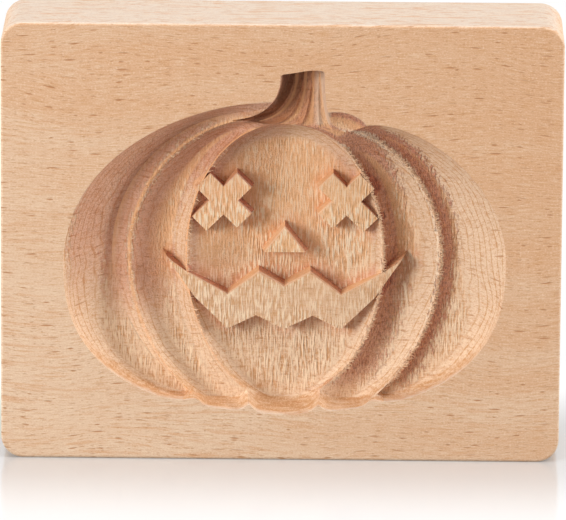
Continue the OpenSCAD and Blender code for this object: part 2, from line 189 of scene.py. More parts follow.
class StampFibreSettings(bpy.types.PropertyGroup):
    """Torn fibres that the cutter left along the ridges."""

    spacing: length("Spacing", 0.09, "Distance between fibres along a ridge")
    fibre_l: length("Length", 0.95, "Length of a long fibre")
    fibre_r: length("Radius", 0.085, "Radius of a fibre at its root")
    spread: length("Spread", 0.2, "How far a fibre's root strays from the crest")
    seed: count("Seed", 7, "Seed of the fibres' places and directions")


class StampWoodSettings(bpy.types.PropertyGroup):
    """Colours and marks of the beech. Some colours also paint light and shade onto it."""

    pale: colour("Pale beech", (0.795, 0.573, 0.397), "Colour of the wood low on the left")
    warm: colour("Warm beech", (0.705, 0.41, 0.23), "Colour of the wood high on the right")
    # Also paints light: on the carving's right and low parts, on the eased edges and the sides, and
    # along the stem's right side; and it pales the top rims of the face's walls
    light: colour("Light grain", (0.92, 0.73, 0.54), "Colour of the palest grain and of worn edges")
    fleck: colour("Flecks", (0.50, 0.225, 0.09), "Colour of the short flecks")
    ring: colour("Rings", (0.60, 0.29, 0.11), "Colour of the growth rings on cut walls")
    # Tints the painted shade on the ridges' flanks, on the stem and round the raised face, with some
    # end-grain staining
    shade_and_stain: colour("Stain", (0.88, 0.58, 0.57), "Tint of the flanks that show end grain")
    # Painted highlight: lights the walls and the left crests that face the key lamp, and warms the
    # level floors as painted bounce light; it also gives pale streaks in the shaded flanks
    crest: colour("Crest", (0.94, 0.52, 0.25), "Colour of the sharp edges that face right")
    # Also paints the darkest shade: on the face's walls that face right and high on the stem's left;
    # and dark streaks in the shaded flanks
    deep: colour("Deep end grain", (0.21, 0.09, 0.055), "Colour of the darkest end grain")
    # A painted sheen: greys and pales the block's upper side
    side: colour("Sides", (0.59, 0.605, 0.64), "Colour of the block's upper side")
    torn: colour("Torn fibres", (0.94, 0.72, 0.50), "Colour of lifted fibres")
    gloss: share("Roughness", 0.58, "Roughness of the sanded faces")


class StampStageSettings(bpy.types.PropertyGroup):
    """Camera, lamps and floor."""

    azimuth: bpy.props.FloatProperty(
        name="Azimuth", description="Turn of the camera to the right",
        default=math.radians(0.5), subtype="ANGLE",
    )
    elevation: bpy.props.FloatProperty(
        name="Elevation", description="Height of the camera above the floor",
        default=math.radians(14.06), subtype="ANGLE",
    )
    roll: bpy.props.FloatProperty(
        name="Roll", description="Roll of the camera", default=math.radians(0.41), subtype="ANGLE"
    )
    distance: length("Distance", 1413, "From the middle of the front face to the camera")
    lens: share("Lens", 504.2, "Focal length in millimetres", high=2000)
    aim_right: length("Aim right", 0.32, "How far right of the block's middle the camera aims")
    aim_down: length("Aim down", 2.9, "How far below the block's middle the camera aims")
    key: share("Key lamp", 9.4, "Power of the lamp on the left, in watts", high=100)
    side: share("Side lamp", 8.2, "Power of the grazing lamp on the right, in watts", high=100)
    top: share("Top lamp", 6.0, "Power of the lamp above, in watts", high=100)
    fill: share("Fill", 0.44, "Strength of the light from all around", high=2)
    sky: colour("Fill colour", (1.0, 0.90, 0.82), "Colour of the light from all around")
    floor: colour("Floor", (0.62, 0.62, 0.63), "Colour of the floor")
    far: length("White at", 54, "Distance from the block where the floor is plain white")
    bounce: colour("Bounce", (0.2, 0.2, 0.2), "Colour of the floor for the light that it throws up")


# Small tools


def mix(a, b, t):
    """From a to b as t goes from nought to one."""
    return a + (b - a) * t


def smooth_step(t):
    """Eases a share in and out, and keeps it between nought and one."""
    t = min(1.0, max(0.0, t))
    return t * t * (3 - 2 * t)


def place_in_scene(name, data):
    """A new object of a mesh, a lamp's or a camera's data."""
    obj = bpy.data.objects.new(name, data)
    bpy.context.scene.collection.objects.link(obj)
    return obj


def new_object(name, vertices, faces, edges=()):
    """A mesh object at the origin."""
    mesh = bpy.data.meshes.new(name)
    mesh.from_pydata(vertices, edges, faces)
    mesh.update()
    return place_in_scene(name, mesh)


def discard(obj):
    """Removes an object and its mesh."""
    mesh = obj.data
    bpy.data.objects.remove(obj)
    if mesh.users == 0:
        bpy.data.meshes.remove(mesh)


def make_plain(obj):
    """Replaces an object's mesh and live modifiers by the mesh that they give."""
    bpy.context.view_layer.update()
    graph = bpy.context.evaluated_depsgraph_get()
    mesh = bpy.data.meshes.new_from_object(obj.evaluated_get(graph), depsgraph=graph)
    obj.modifiers.clear()
    old = obj.data
    obj.data = mesh
    mesh.name = obj.name
    bpy.data.meshes.remove(old)


def cut_away(target, cutters):
    """Takes the cutters out of the target and discards them."""
    for cutter in cutters:
        cut = target.modifiers.new("cut_" + cutter.name, "BOOLEAN")
        cut.operation = "DIFFERENCE"
        cut.solver = "MANIFOLD"
        cut.object = cutter
    make_plain(target)
    if len(target.data.polygons) == 0:
        raise RuntimeError(f"{target.name} is empty after its cuts")
    for cutter in cutters:
        discard(cutter)


def grid_faces(rows, columns, at):
    """Triangles between the rows and columns of a grid, without those that have no area."""
    faces = []
    for r in range(rows):
        for c in range(columns):
            for face in (
                (at(r, c), at(r + 1, c), at(r + 1, c + 1)),
                (at(r, c), at(r + 1, c + 1), at(r, c + 1)),
            ):
                if len(set(face)) == 3:
                    faces.append(face)
    return faces


LID_CLEARANCE = 1 * MM


def new_gouge(name, points, surface, rim, middle):
    """A closed solid in front of a surface, with a flat lid clear of the block's front."""
    first = len(points)
    n = len(rim)
    lid_y = FRONT_Y - LID_CLEARANCE
    lid = [(points[i][0], lid_y, points[i][2]) for i in rim]
    faces = list(surface)
    for i in range(n):
        j = (i + 1) % n
        faces += [
            (rim[i], first + i, first + j),
            (rim[i], first + j, rim[j]),
            (first + i, first + n, first + j),
        ]
    faces = [f for f in faces if len(set(f)) == 3]
    gouge = new_object(name, points + lid + [(middle[0], lid_y, middle[1])], faces)
    turn_faces_out(gouge)
    return gouge


@contextmanager
def editing(obj):
    """An object's mesh as a BMesh, which is written back at the end."""
    work = bmesh.new()
    work.from_mesh(obj.data)
    yield work
    work.to_mesh(obj.data)
    work.free()


def turn_faces_out(obj):
    """Turns the faces of a closed mesh outwards."""
    with editing(obj) as work:
        bmesh.ops.recalc_face_normals(work, faces=work.faces)


# The block


def block_ring(s, inset, y):
    """One loop round the block: a rectangle with round corners, inset from the block's sides."""
    half_w = BLOCK_SIZE.x / 2
    radius = s.corner_r - inset
    ring = []
    for turn, (side, z) in enumerate(
        ((1, BLOCK_SIZE.z - s.corner_r), (-1, BLOCK_SIZE.z - s.corner_r),
         (-1, s.corner_r), (1, s.corner_r))
    ):
        centre = Vector((side * (half_w - s.corner_r), z))
        start = turn * math.pi / 2
        arc = [start + i / s.corner_steps * math.pi / 2 for i in range(s.corner_steps + 1)]
        points = [centre + radius * Vector((math.cos(a), math.sin(a))) for a in arc]
        lead = s.support * Vector((math.sin(start), -math.cos(start)))
        trail = s.support * Vector((-math.sin(arc[-1]), math.cos(arc[-1])))
        ring += [points[0] + lead] + points + [points[-1] + trail]
    return [(p.x, y, p.y) for p in ring]


def new_block(s):
    """The uncut block, with round corners and eased edges."""
    half_t = BLOCK_SIZE.y / 2
    ease = [i / s.edge_steps * math.pi / 2 for i in range(s.edge_steps + 1)]
    profile = [(s.edge_r + s.support, -half_t)]
    profile += [
        (s.edge_r * (1 - math.sin(a)), -half_t + s.edge_r * (1 - math.cos(a))) for a in ease
    ]
    profile.append((0, -half_t + s.edge_r + s.support))
    profile += [(inset, -y) for inset, y in reversed(profile)]
    rings = [block_ring(s, inset, y) for inset, y in profile]
    n = len(rings[0])
    faces = [tuple(range(n)), tuple(range(len(rings) * n - 1, (len(rings) - 1) * n - 1, -1))]
    for r in range(len(rings) - 1):
        for i in range(n):
            j = (i + 1) % n
            faces.append((r * n + i, r * n + n + i, r * n + n + j, r * n + j))
    block = new_object("carved_block", [p for ring in rings for p in ring], faces)
    turn_faces_out(block)
    return block


# The lobes

# Shape of the outline below the widest line: 2 is an ellipse, and more is squarer
OUTLINE_POWER = 2.5
# How far below the pumpkin's crown the top of each line lies
OUTER_FLOOR_GAP = 1.6 * MM
OUTER_RIDGE_GAP = 2.9 * MM
INNER_FLOOR_GAP = 3.9 * MM
MID_RIDGE_GAP = 4.9 * MM
MID_FLOOR_GAP = 10.5 * MM
# How far below the outline's corners each line would end, if it ran on to the centre line
OUTER_FLOOR_RUN = 1.6 * MM
OUTER_RIDGE_RUN = 3.3 * MM
INNER_FLOOR_RUN = 3.6 * MM
MID_RIDGE_RUN = -1.5 * MM
# Run of the bottom wall below the middle lobe, and how much wider the lines are at its foot
WALL_RUN = 1.3 * MM
FOOT_SPLAY = 0.8 * MM
MID_FOOT_SPLAY = 0.4 * MM
# From the outline's corner to the outer lobe's deepest line at the bottom edge
CORNER_INSET = 1.2 * MM
# How far the right shoulder's drop fades out to the side
SHOULDER_REACH = 5.4 * MM
# Half width of the notches, the outer one's towards the outside, and their height and shape
NOTCH_REACH = 1.1 * MM
OUTER_NOTCH_REACH = 3.2 * MM
OUTER_NOTCH_SHARE = 0.9
NOTCH_POWER = 1.5
# How late the bottom edge rises to its corners, and how late the wall above it gets steep
BOTTOM_POWER = 1.3
WALL_POWER = 1.9
# How soon the lobes get deep below the crown, and how much of that delay the left half has
CROWN_EASE = 0.12
LEFT_SHARE = 0.3
# How late below the widest line the sections change, and the strips bend towards the foot
SECTION_POWER = 1.5
FOOT_POWER = 3
RIDGE_STEPS = 420

# A line's half width, reach up, reach down, half width at the foot of the bottom wall and at the
# bottom edge, depth at the widest line and at the foot, share of the crown depth, share of the
# right shoulder's drop, and distance from the centre line, on the right, to where it gets deep
Line = namedtuple("Line", "width up down foot end depth foot_depth crown drop start")
Lines = namedtuple("Lines", "outline outer_floor outer_ridge inner_floor mid_ridge mid_floor")
# A strip's lines, columns, power of their spacing, powers of its section at the widest line and
# at the foot, and whether it rises to a ridge
Strip = namedtuple("Strip", "outer inner columns spacing waist_power foot_power rises")


def lobe_lines(s):
    """The lines of one half of the pumpkin, from the outline in to the middle lobe's floor."""
    inner_end = (s.outer_ridge_end + s.mid_ridge_end) / 2
    return Lines(
        Line(s.outline_w, s.outline_up, s.outline_down, s.bottom_w, s.bottom_w, 0, 0, 0, 1, 0),
        Line(s.outer_floor_w, s.outline_up - OUTER_FLOOR_GAP, s.outline_down + OUTER_FLOOR_RUN,
             s.bottom_w - FOOT_SPLAY, s.bottom_w - CORNER_INSET, s.outer_depth, s.outer_foot,
             0.3, 0.55, s.shoulder_x),
        Line(s.outer_ridge_w, s.outline_up - OUTER_RIDGE_GAP, s.outline_down + OUTER_RIDGE_RUN,
             s.outer_ridge_end + FOOT_SPLAY, s.outer_ridge_end, s.outer_ridge_depth,
             s.outer_ridge_foot, 0.5, 0, s.shoulder_x),
        Line(s.inner_floor_w, s.outline_up - INNER_FLOOR_GAP, s.outline_down + INNER_FLOOR_RUN,
             inner_end + FOOT_SPLAY, inner_end, s.inner_depth, s.inner_foot,
             0.8, 0, s.shoulder_x - MM),
        Line(s.mid_ridge_w, s.outline_up - MID_RIDGE_GAP, s.outline_down + MID_RIDGE_RUN,
             s.mid_ridge_end + MID_FOOT_SPLAY, s.mid_ridge_end, s.mid_ridge_depth,
             s.mid_ridge_foot, 1, 0, 0),
        Line(0, s.outline_up - MID_FLOOR_GAP, s.bottom_down - WALL_RUN, 0, 0, s.mid_depth,
             s.mid_foot, s.mid_depth / s.crown_depth, 0, 0),
    )


def lobe_strips(s):
    """The strips between neighbouring lines, with their columns and sections."""
    lines = lobe_lines(s)
    sections = (
        (26, 1.5, 1.15, 6, False), (8, 1, 1.2, 1.4, True), (14, 1.3, 1.25, 2, False),
        (14, 0.7, 2.6, 1.4, True), (26, 1.6, 2, 2.6, False),
    )
    return [Strip(*pair, *section) for *pair, section in zip(lines, lines[1:], sections)]


def notch(s, x, at, outwards):
    """Rise of the bottom edge at a half width x, for a notch at another half width."""
    reach = outwards if x > at else NOTCH_REACH
    return s.notch_h * math.exp(-(abs(x - at) / reach) ** NOTCH_POWER)


def outer_notch(s, x):
    """Rise of the bottom edge for the notch under the outer ridge."""
    return OUTER_NOTCH_SHARE * notch(s, x, s.outer_ridge_end, OUTER_NOTCH_REACH)


def bottom_edge(s, x):
    """Height of the bottom edge over the widest line at a half width."""
    corner = s.outline_down * (1 - (s.bottom_w / s.outline_w) ** OUTLINE_POWER) ** (
        1 / OUTLINE_POWER
    )
    return (
        -mix(s.bottom_down, corner, (x / s.bottom_w) ** BOTTOM_POWER)
        + notch(s, x, s.mid_ridge_end, NOTCH_REACH) + outer_notch(s, x)
    )


def line_place(s, line, power, q, side):
    """Half width and height of a line at q: 0 under the stem, 1 at the widest line, 2 at the foot."""
    if q <= 1:
        x = line.width * math.sin(q * math.pi / 2)
        drop = 0
        if side > 0 and line.drop:
            if x < s.shoulder_x:
                fall = (x / s.shoulder_x) ** 2
            else:
                fall = math.exp((s.shoulder_x - x) / SHOULDER_REACH)
            drop = line.drop * s.shoulder_drop * fall
        return x, (line.up - drop) * math.cos(q * math.pi / 2)
    if line.width == 0:
        return 0, -line.down * math.sin((q - 1) * math.pi / 2)
    a = math.acos((line.foot / line.width) ** (power / 2)) * (q - 1)
    x = line.width * math.cos(a) ** (2 / power)
    lift = outer_notch(s, x) if line.drop == 1 else 0
    return x, lift - line.down * math.sin(a) ** (2 / power)


def line_depth(s, line, q, side):
    """Depth of a line at q, which grows quickly from the crown and then slowly."""
    if line.depth == 0:
        return 0
    if q > 1:
        return mix(line.foot_depth, line.depth, math.cos((q - 1) * math.pi / 2))
    start = line.start * (1 if side > 0 else LEFT_SHARE) / max(line.width, MM)
    grown = (max(0, math.sin(q * math.pi / 2) - start) / (1 - start)) ** 2
    grown *= (1 + CROWN_EASE) / (grown + CROWN_EASE)
    return mix(line.crown * s.crown_depth, line.depth, grown)


def strip_point(s, strip, t, q, side):
    """Half width, height over the widest line and depth of a point above the bottom wall."""
    is_outer = strip.outer.drop == 1
    below = max(0, q - 1)
    ax, az = line_place(s, strip.outer, OUTLINE_POWER if is_outer else 2, q, side)
    bx, bz = line_place(s, strip.inner, 2, q, side)
    power = mix(strip.waist_power, strip.foot_power, below ** SECTION_POWER)
    bend = t ** power if strip.rises else (1 - (1 - t) ** power) ** (1 / power)
    rise = t
    if not is_outer:
        bent = t ** FOOT_POWER if strip.rises else 1 - (1 - t) ** FOOT_POWER
        rise = mix(t, bent, below ** FOOT_POWER)
    depth = mix(line_depth(s, strip.outer, q, side), line_depth(s, strip.inner, q, side), bend)
    return mix(ax, bx, t), mix(az, bz, rise), depth


def wall_point(s, strip, t, run):
    """A point of the bottom wall, at a share of its run out to the edge."""
    foot = strip_point(s, strip, t, 2, 0)
    edge_x = mix(strip.outer.end, strip.inner.end, t)
    edge_z = bottom_edge(s, edge_x)
    return mix(foot[0], edge_x, run), mix(foot[1], edge_z, run), foot[2] * (1 - run ** WALL_POWER)


def in_place(s, side, point):
    """Puts a half width, height and depth into the block's frame."""
    waist_z = BLOCK_SIZE.z / 2 - s.waist_drop
    return (s.carving_x + side * point[0], FRONT_Y + point[2], waist_z + point[1])


def new_lobes(s):
    """The solid that cuts the five lobes. Its first row folds shut on itself under the stem."""
    strips = lobe_strips(s)
    columns = [
        (strip, (i / strip.columns) ** strip.spacing)
        for strip in strips for i in range(strip.columns)
    ]
    columns.append((strips[-1], 1.0))
    half = len(columns) - 1
    across = 2 * half + 1
    rows = s.crown_rows + s.foot_rows
    last = rows + s.wall_rows

    def grid_point(row, column):
        strip, t = columns[column if column <= half else 2 * half - column]
        side = -1 if column <= half else 1
        if row > rows:
            return in_place(s, side, wall_point(s, strip, t, (row - rows) / s.wall_rows))
        q = row / s.crown_rows if row <= s.crown_rows else 1 + (row - s.crown_rows) / s.foot_rows
        return in_place(s, side, strip_point(s, strip, t, q, side))

    def at(row, column):
        if row == 0:
            return column if column <= half else 2 * half - column
        return half + 1 + (row - 1) * across + column

    points = [grid_point(0, c) for c in range(half + 1)]
    points += [grid_point(r, c) for r in range(1, last + 1) for c in range(across)]
    rim = [at(r, 0) for r in range(last)]
    rim += [at(last, c) for c in range(across)]
    rim += [at(r, across - 1) for r in range(last - 1, 0, -1)]
    middle = (s.carving_x, BLOCK_SIZE.z / 2 - s.waist_drop)
    return new_gouge("lobes", points, grid_faces(last, across - 1, at), rim, middle)


def ridge_path(s, line, side):
    """Points along a ridge, from the crown to the bottom edge."""
    path = []
    for i in range(1, RIDGE_STEPS + 1):
        q = 2 * i / RIDGE_STEPS
        x, z = line_place(s, line, 2, q, side)
        path.append(Vector(in_place(s, side, (x, z, line_depth(s, line, q, side)))))
    return path


# The face

# How far the walls of the face reach into the wood below the deepest floor
ROOT_BELOW = 0.6 * MM
# How far the mouth's points lie from its corners, its teeth and the points between them
MIDDLE_TOOTH_DROP = 2.6 * MM
UPPER_POINT_IN = 0.5 * MM
LOWER_POINT_UP = 2.5 * MM
BEND_IN = 3.3 * MM
JAW_IN = 1.3 * MM
JAW_UP = 5.9 * MM


def wall_normal(a, b):
    """The way out of a wall that runs from a to b, clockwise round its shape."""
    d = (b - a).normalized()
    return Vector((-d.y, d.x))


def new_raised(name, s, face, upper, lower):
    """A flat-topped shape left standing, with walls that lean out down into the wood."""
    last = len(upper) - 1
    loop = [Vector(p) for p in upper] + [Vector(lower[i]) for i in range(last - 1, 0, -1)]
    n = len(loop)
    root_depth = s.mid_depth + ROOT_BELOW
    run = face.face_draft * (root_depth - face.face_depth) / (s.mid_depth - face.face_depth)
    root = []
    for i, p in enumerate(loop):
        before = wall_normal(loop[i - 1], p)
        after = wall_normal(p, loop[(i + 1) % n])
        root.append(p + (before + after) * run / (1 + before.dot(after)))
    points = [in_place(s, 1, (p.x, p.y, face.face_depth)) for p in loop]
    points += [in_place(s, 1, (p.x, p.y, root_depth)) for p in root]
    faces = [tuple(range(n)), tuple(range(2 * n - 1, n - 1, -1))]
    faces += [(i, n + i, n + (i + 1) % n, (i + 1) % n) for i in range(n)]
    shape = new_object(name, points, faces)
    turn_faces_out(shape)
    return shape


def eye_bar(s, face, side, degrees, back, ahead):
    """One bar of an eye's cross."""
    angle = math.radians(degrees)
    along = Vector((math.cos(angle), math.sin(angle)))
    over = Vector((-along.y, along.x)) * face.eye_bar_w / 2
    middle = Vector((side * face.eye_x, face.eye_z))
    start = middle - along * back
    end = middle + along * ahead
    return new_raised(
        f"eye_{side}_{degrees}", s, face,
        [start - over, start + over, end + over], [start - over, end - over, end + over],
    )


def mirrored(edge, corner):
    """A whole edge of the mouth from the right half of it."""
    left = [(-x, z) for x, z in reversed(edge[1:])]
    return [(-corner[0], corner[1])] + left + edge + [corner]


def new_face(s, face):
    """The shapes of the face."""
    eyes = [
        eye_bar(s, face, -1, -45, face.eye_arm_in, face.eye_arm_in),
        eye_bar(s, face, -1, 45, face.eye_arm_out, face.eye_arm_in),
        eye_bar(s, face, 1, -45, face.eye_arm_in, face.eye_arm_out),
        eye_bar(s, face, 1, 45, face.eye_arm_in, face.eye_arm_in),
    ]
    low, wide = face.nose_z, face.nose_w
    nose = new_raised(
        "nose", s, face,
        [(-wide, low), (0, low + face.nose_h), (wide, low)], [(-wide, low), (0, low), (wide, low)],
    )
    points_down, teeth_down = face.mouth_up_down, face.lower_tooth_down
    bend_w = face.mouth_w - BEND_IN
    upper = [
        (0, -points_down - MIDDLE_TOOTH_DROP), (face.tooth_w / 2 - UPPER_POINT_IN, -points_down),
        (face.tooth_w, -face.upper_tooth_down), (bend_w, -points_down),
    ]
    lower = [
        (0, -teeth_down), (face.tooth_w / 2, LOWER_POINT_UP - teeth_down),
        (face.tooth_w, -teeth_down), (bend_w - JAW_IN, JAW_UP - teeth_down),
    ]
    corner = (face.mouth_w, -face.mouth_corner_down)
    mouth = new_raised("mouth", s, face, mirrored(upper, corner), mirrored(lower, corner))
    return eyes + [nose, mouth]


# The stem

# Share of the cut end left of the centre line, and shares of the stem that its walls take up
STEM_LEFT_SHARE = 0.13
LEFT_WALL = 0.1
RIGHT_WALL = 0.08
END_WALL = 0.06
FOOT_WALL = 0.12
# Depth on the right as a share of that on the left, and the share over which the flutes grow
RIGHT_RISE = 0.5
FLUTE_FADE = 0.3
# Rise and bow of the cut end, rounding of its corners, and slope of the foot
END_SLOPE = 0.8 * MM
END_BOW = math.radians(130)
END_CORNER = 0.45 * MM
CORNER_REACH = 0.1
FOOT_SLOPE = 1.8 * MM
# How late along the stem its sides spread and its floor rises, and how sharp its ridges are
LEFT_SPREAD_POWER = 2.2
RIGHT_SPREAD_POWER = 2.4
FLOOR_POWER = 1.3
FLUTE_POWER = 1.3
# How far the flutes crowd towards the right at the cut end: at 1, they don't
END_CROWDING = 0.65
END_ROWS = 6
# Place and tilt of the lobe behind the stem, and place, tilt, size and level of the short cut
REAR_X, REAR_UP, REAR_TILT = 10.2 * MM, 1.9 * MM, -12
CUT_X, CUT_UP, CUT_TILT = 6.6 * MM, 1.5 * MM, 80
CUT_SIZE = (3.4 * MM, 1 * MM, 0.9 * MM)
CUT_LEVEL = 1.7 * MM
SPINDLE_STATIONS = 40
SPINDLE_TURNS = 56


def stem_share(u, v):
    """Share of the stem's width at u. The flutes crowd towards the right at the cut end."""
    return u ** mix(END_CROWDING, 1, v)


def end_rounding(t):
    """How far a corner of the cut end is rounded down, at a share of the width from it."""
    return END_CORNER * (1 - min(1, t / CORNER_REACH)) ** 2


def stem_point(s, stem, u, v):
    """A point of the stem: u from its left side to its right, v from its cut end to its foot."""
    left = -STEM_LEFT_SHARE * stem.stem_w - stem.spread_left * v ** LEFT_SPREAD_POWER
    right = (1 - STEM_LEFT_SHARE) * stem.stem_w + stem.spread_right * v ** RIGHT_SPREAD_POWER
    top = stem.stem_up + END_SLOPE * math.sin(END_BOW * u)
    top -= end_rounding(stem_share(u, 0)) + end_rounding(1 - u)
    foot = stem.stem_foot_up + FOOT_SLOPE * (1 - u)
    floor = mix(stem.stem_depth, s.crown_depth + stem.flute_h, v ** FLOOR_POWER)
    ridge = (1 - abs(math.sin(math.pi * stem.flutes * u))) ** FLUTE_POWER
    floor -= stem.flute_h * min(1, v / FLUTE_FADE) * ridge
    if u < LEFT_WALL:
        section = math.sin(u / LEFT_WALL * math.pi / 2)
    else:
        section = mix(1, RIGHT_RISE, (u - LEFT_WALL) / (1 - LEFT_WALL))
        section *= math.sqrt(min(1, (1 - u) / RIGHT_WALL))
    end = math.sqrt(min(1, v / END_WALL, (1 - v) / FOOT_WALL))
    place = mix(left, right, stem_share(u, v)), mix(top, foot, math.sin(v * math.pi / 2))
    return in_place(s, 1, (*place, max(0, floor) * section * end))


def new_stem(s, stem):
    """The solid that cuts the stem and its flutes."""
    columns = stem.flutes * stem.columns

    def at(row, column):
        return row * (columns + 1) + column

    def row_share(row):
        if row <= END_ROWS:
            return END_WALL * (row / END_ROWS) ** 2
        return mix(END_WALL, 1, (row - END_ROWS) / (stem.rows - END_ROWS))

    points = [
        stem_point(s, stem, c / columns, row_share(r))
        for r in range(stem.rows + 1) for c in range(columns + 1)
    ]
    rim = [at(r, 0) for r in range(stem.rows)]
    rim += [at(stem.rows, c) for c in range(columns + 1)]
    rim += [at(r, columns) for r in range(stem.rows - 1, -1, -1)]
    rim += [at(0, c) for c in range(columns - 1, 0, -1)]
    middle_z = BLOCK_SIZE.z / 2 - s.waist_drop + (stem.stem_up + stem.stem_foot_up) / 2
    middle = (s.carving_x + stem.stem_w / 2, middle_z)
    return new_gouge("stem", points, grid_faces(stem.rows, columns, at), rim, middle)


def new_spindle(name, s, centre, degrees, size, level=0.0):
    """A spindle whose lower side cuts a hollow like a boat, below a level under the face."""
    long, wide, deep = size
    across = (wide * wide / 4 + deep * deep) / (2 * deep)
    along = (long * long / 4 + deep * deep) / (2 * deep)
    inset = along - across
    reach = math.sqrt(max(0, along ** 2 - inset ** 2))
    tilt = math.radians(degrees)
    axis = Vector((math.cos(tilt), 0, math.sin(tilt)))
    up = Vector((-math.sin(tilt), 0, math.cos(tilt)))
    seat = Vector(in_place(s, 1, (centre[0], centre[1], level + deep - across)))
    points = [seat - axis * reach, seat + axis * reach]
    for i in range(1, SPINDLE_STATIONS):
        a = mix(-1, 1, i / SPINDLE_STATIONS) * math.asin(min(1, reach / along))
        middle = seat + axis * (along * math.sin(a))
        radius = along * math.cos(a) - inset
        for k in range(SPINDLE_TURNS):
            b = 2 * math.pi * k / SPINDLE_TURNS
            points.append(middle + radius * (Vector((0, math.cos(b), 0)) + up * math.sin(b)))
    faces = []
    last = len(points) - SPINDLE_TURNS
    for k in range(SPINDLE_TURNS):
        j = (k + 1) % SPINDLE_TURNS
        faces += [(0, 2 + j, 2 + k), (1, last + k, last + j)]
        for ring in range(2, last, SPINDLE_TURNS):
            after = ring + SPINDLE_TURNS
            faces.append((ring + k, ring + j, after + j, after + k))
    shape = new_object(name, points, faces)
    turn_faces_out(shape)
    return shape


def new_stem_cuts(s, stem):
    """The fluted stem, the short cut in its last flute and the small lobe behind it."""
    foot = stem.stem_foot_up
    rear_size = (stem.rear_l, stem.rear_w, stem.rear_depth)
    rear = new_spindle("rear_lobe", s, (REAR_X, foot + REAR_UP), REAR_TILT, rear_size)
    cut = new_spindle("stem_cut", s, (CUT_X, foot + CUT_UP), CUT_TILT, CUT_SIZE, CUT_LEVEL)
    return [new_stem(s, stem), cut, rear]


# Marks on the carved mesh

MARKS = ("carved", "plate", "plate_gap", "outer_gap", "mid_gap")
# Depth from which a point counts as fully carved, and rim of the block that never does
FULLY_CARVED = 0.25 * MM
SIDE_MARGIN = 1.5 * MM
# Gap of a point outside the carving, in millimetres
NO_GAP = 99.0
# How much farther off the flat tops count straight above and below them, so that the painted shade
# round the face reaches farthest to the right of them
HALO_LEAN = 1.6
# Distance at which points are merged, and turn from which an edge is sharp
MERGE = 0.002 * MM
SHARP_TURN = math.radians(32)


def ridge_trees(s, line):
    """Search trees of a ridge's points on the left and on the right."""
    trees = []
    for side in (-1, 1):
        path = ridge_path(s, line, side)
        tree = KDTree(len(path))
        for i, p in enumerate(path):
            tree.insert(p, i)
        tree.balance()
        trees.append(tree)
    return trees


def write_mark(obj, name, values):
    """Writes a number for each point of a mesh."""
    obj.data.attributes.new(name, "FLOAT", "POINT").data.foreach_set("value", values)


def plate_tree(mesh, flat_y):
    """Search tree of the flat tops of the face."""
    places = [v.co for v in mesh.vertices]
    tops = [
        list(p.vertices) for p in mesh.polygons
        if all(abs(places[i].y - flat_y) < TOUCH for i in p.vertices)
    ]
    return BVHTree.FromPolygons(places, tops)


def plate_gap(tree, place):
    """Millimetres aside to the nearest flat top: as they are to its right, and more elsewhere."""
    edge, _, _, aside = tree.find_nearest(place)
    lean = (place.x - edge.x) / max(aside, TOUCH)
    return aside * (HALO_LEAN - (HALO_LEAN - 1) * lean) / MM


def ridge_gap(trees, centre, place):
    """Millimetres to the nearest point of a ridge, and negative on the pumpkin's inner side."""
    near, _, distance = trees[place.x > centre.x].find(place)
    out = near - centre
    out.y = 0
    return math.copysign(distance / MM, (place - near).dot(out))


def mark_points(obj, s, plate_depth):
    """Writes where a point lies, for the material: carved, on a flat top, and the gaps to others.

    A gap is the distance to a ridge or, level with the front, to the flat tops of the face.
    """
    lines = lobe_lines(s)
    ridges = {
        "outer_gap": ridge_trees(s, lines.outer_ridge), "mid_gap": ridge_trees(s, lines.mid_ridge)
    }
    marks = {name: [] for name in MARKS}
    flat_y = FRONT_Y + plate_depth
    plates = plate_tree(obj.data, flat_y)
    centre = Vector((s.carving_x, 0, BLOCK_SIZE.z / 2 - s.waist_drop))
    for v in obj.data.vertices:
        x, y, z = v.co
        inside = (
            abs(x) < BLOCK_SIZE.x / 2 - SIDE_MARGIN
            and SIDE_MARGIN < z < BLOCK_SIZE.z - SIDE_MARGIN and y < FRONT_Y + BLOCK_SIZE.y / 2
        )
        marks["carved"].append(smooth_step((y - FRONT_Y) / FULLY_CARVED) if inside else 0.0)
        marks["plate"].append(float(abs(y - flat_y) < TOUCH))
        gap = plate_gap(plates, Vector((x, flat_y, z))) if inside else NO_GAP
        marks["plate_gap"].append(gap)
        for name, trees in ridges.items():
            marks[name].append(ridge_gap(trees, centre, v.co) if inside else NO_GAP)
    for name, values in marks.items():
        write_mark(obj, name, values)


def finish_mesh(obj):
    """Triangles, smooth faces and sharp edges, also all round the flat front."""
    with editing(obj) as work:
        bmesh.ops.remove_doubles(work, verts=work.verts, dist=MERGE)
        bmesh.ops.dissolve_degenerate(work, edges=work.edges, dist=MERGE)
        bmesh.ops.triangulate(work, faces=work.faces)
        for edge in work.edges:
            flat = {all(abs(v.co.y - FRONT_Y) < TOUCH for v in f.verts) for f in edge.link_faces}
            edge.smooth = edge.calc_face_angle(0) < SHARP_TURN and len(flat) == 1
        for f in work.faces:
            f.smooth = True


# Node tools


